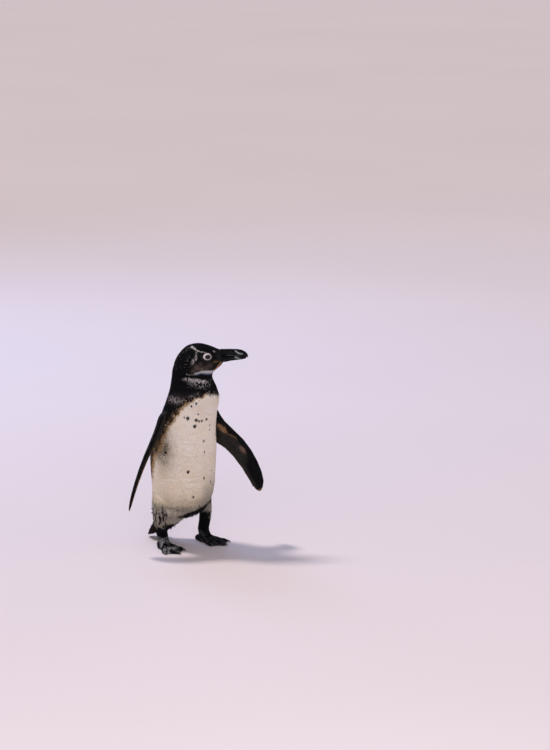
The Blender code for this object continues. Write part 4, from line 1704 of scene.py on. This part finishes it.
def cellEdges(points, size, seed):
    # 0 in the grooves between scales and 1 on their middles
    found = np.array([noise.voronoi(Vector(p))[0] for p in points / size + seed])
    return np.clip((found[:, 1] - found[:, 0]) * 1.6, 0, 1)


def footFinish():
    paint = Finish("webbed foot skin", (0.02, 0.019, 0.02), 0.5, Specular_IOR_Level=0.03)
    groove = paint.attribute("scaleTop")
    blotch, fine = paint.grain(90.0, 3.0), paint.grain(1000.0, 3.0, 0.7)
    dark = paint.mix(groove, (0.0010, 0.0010, 0.0016), (0.0035, 0.0035, 0.0050))
    dust = (fine * 0.9 + blotch * 0.3 + groove * 0.10).ranged(0.66, 0.72)
    paint.put("Base Color", paint.mix(dust * paint.attribute("dusty"), dark, (0.62, 0.58, 0.62)))
    paint.put("Roughness", dust.ranged(0.0, 1.0, 0.46, 0.85))
    paint.bumped(fine + paint.cells(1300.0), 0.00015, 0.7)
    return paint.material


def clawFinish():
    paint = Finish("claw horn", (0.03, 0.026, 0.024), 0.35, Coat_Weight=0.3)
    streak = paint.grain(700.0, 3.0, 0.6, (1.0, 1.0, 0.2))
    worn = streak.ranged(0.35, 0.75)
    paint.put("Base Color", paint.mix(worn, (0.006, 0.006, 0.006), (0.045, 0.038, 0.034)))
    paint.bumped(streak, 0.0001, 0.6)
    return paint.material


def dustiness(points, normals, side):
    # dry pale flecks, most of all on the right foot's outer side
    outer = smooth(-0.1, 0.5, normals @ np.array((-0.7, -0.5, 0.3)))
    patchy = smooth(-0.25, 0.25, noiseAt(points, 0.012, 44))
    return footLook["dust"][side] * patchy * (0.15 + 0.85 * outer)


def makeFoot(side, finish):
    look = footLook
    mesh = remeshed("foot_skin_" + side, ["foot_" + side], look["voxel"])
    points, edges = pointsOf(mesh), edgesOf(mesh)
    floor = points[:, 2].copy()
    points = relaxed(relaxed(points, edges, 5, 0.5), edges, 5, -0.52)
    setPoints(mesh, points)
    normals = normalsOf(mesh)
    cells = cellEdges(points * np.array((1, 1, 1.3)), look["scaleSize"], 3.3)
    height = look["scaleHeight"] * (np.sqrt(cells) - 0.8)
    above = smooth(0.0008, 0.003, points[:, 2])
    points = points + normals * (height * above)[:, None]
    points[:, 2] = np.maximum(points[:, 2], np.minimum(floor, 0.0))
    setPoints(mesh, points)
    putAttribute(mesh, "scaleTop", cells)
    putAttribute(mesh, "dusty", dustiness(points, normals, side))
    showPiece("foot_skin_" + side, mesh, finish, ["foot_" + side])


def makeClaws(side, finish):
    nodes = [f"claw_{side}_{toe}" for toe in ("inner", "middle", "outer", "hallux")]
    mesh = remeshed("claws_" + side, nodes, footLook["clawVoxel"])
    points, edges = pointsOf(mesh), edgesOf(mesh)
    points = relaxed(relaxed(points, edges, 6, 0.5), edges, 5, -0.5)
    points[:, 2] = np.maximum(points[:, 2], 0.0)
    setPoints(mesh, points)
    showPiece("claws_" + side, mesh, finish, nodes)


footSkin, clawHorn = footFinish(), clawFinish()
for side in sides:
    makeFoot(side, footSkin)
    makeClaws(side, clawHorn)
print("feet and claws shaped")
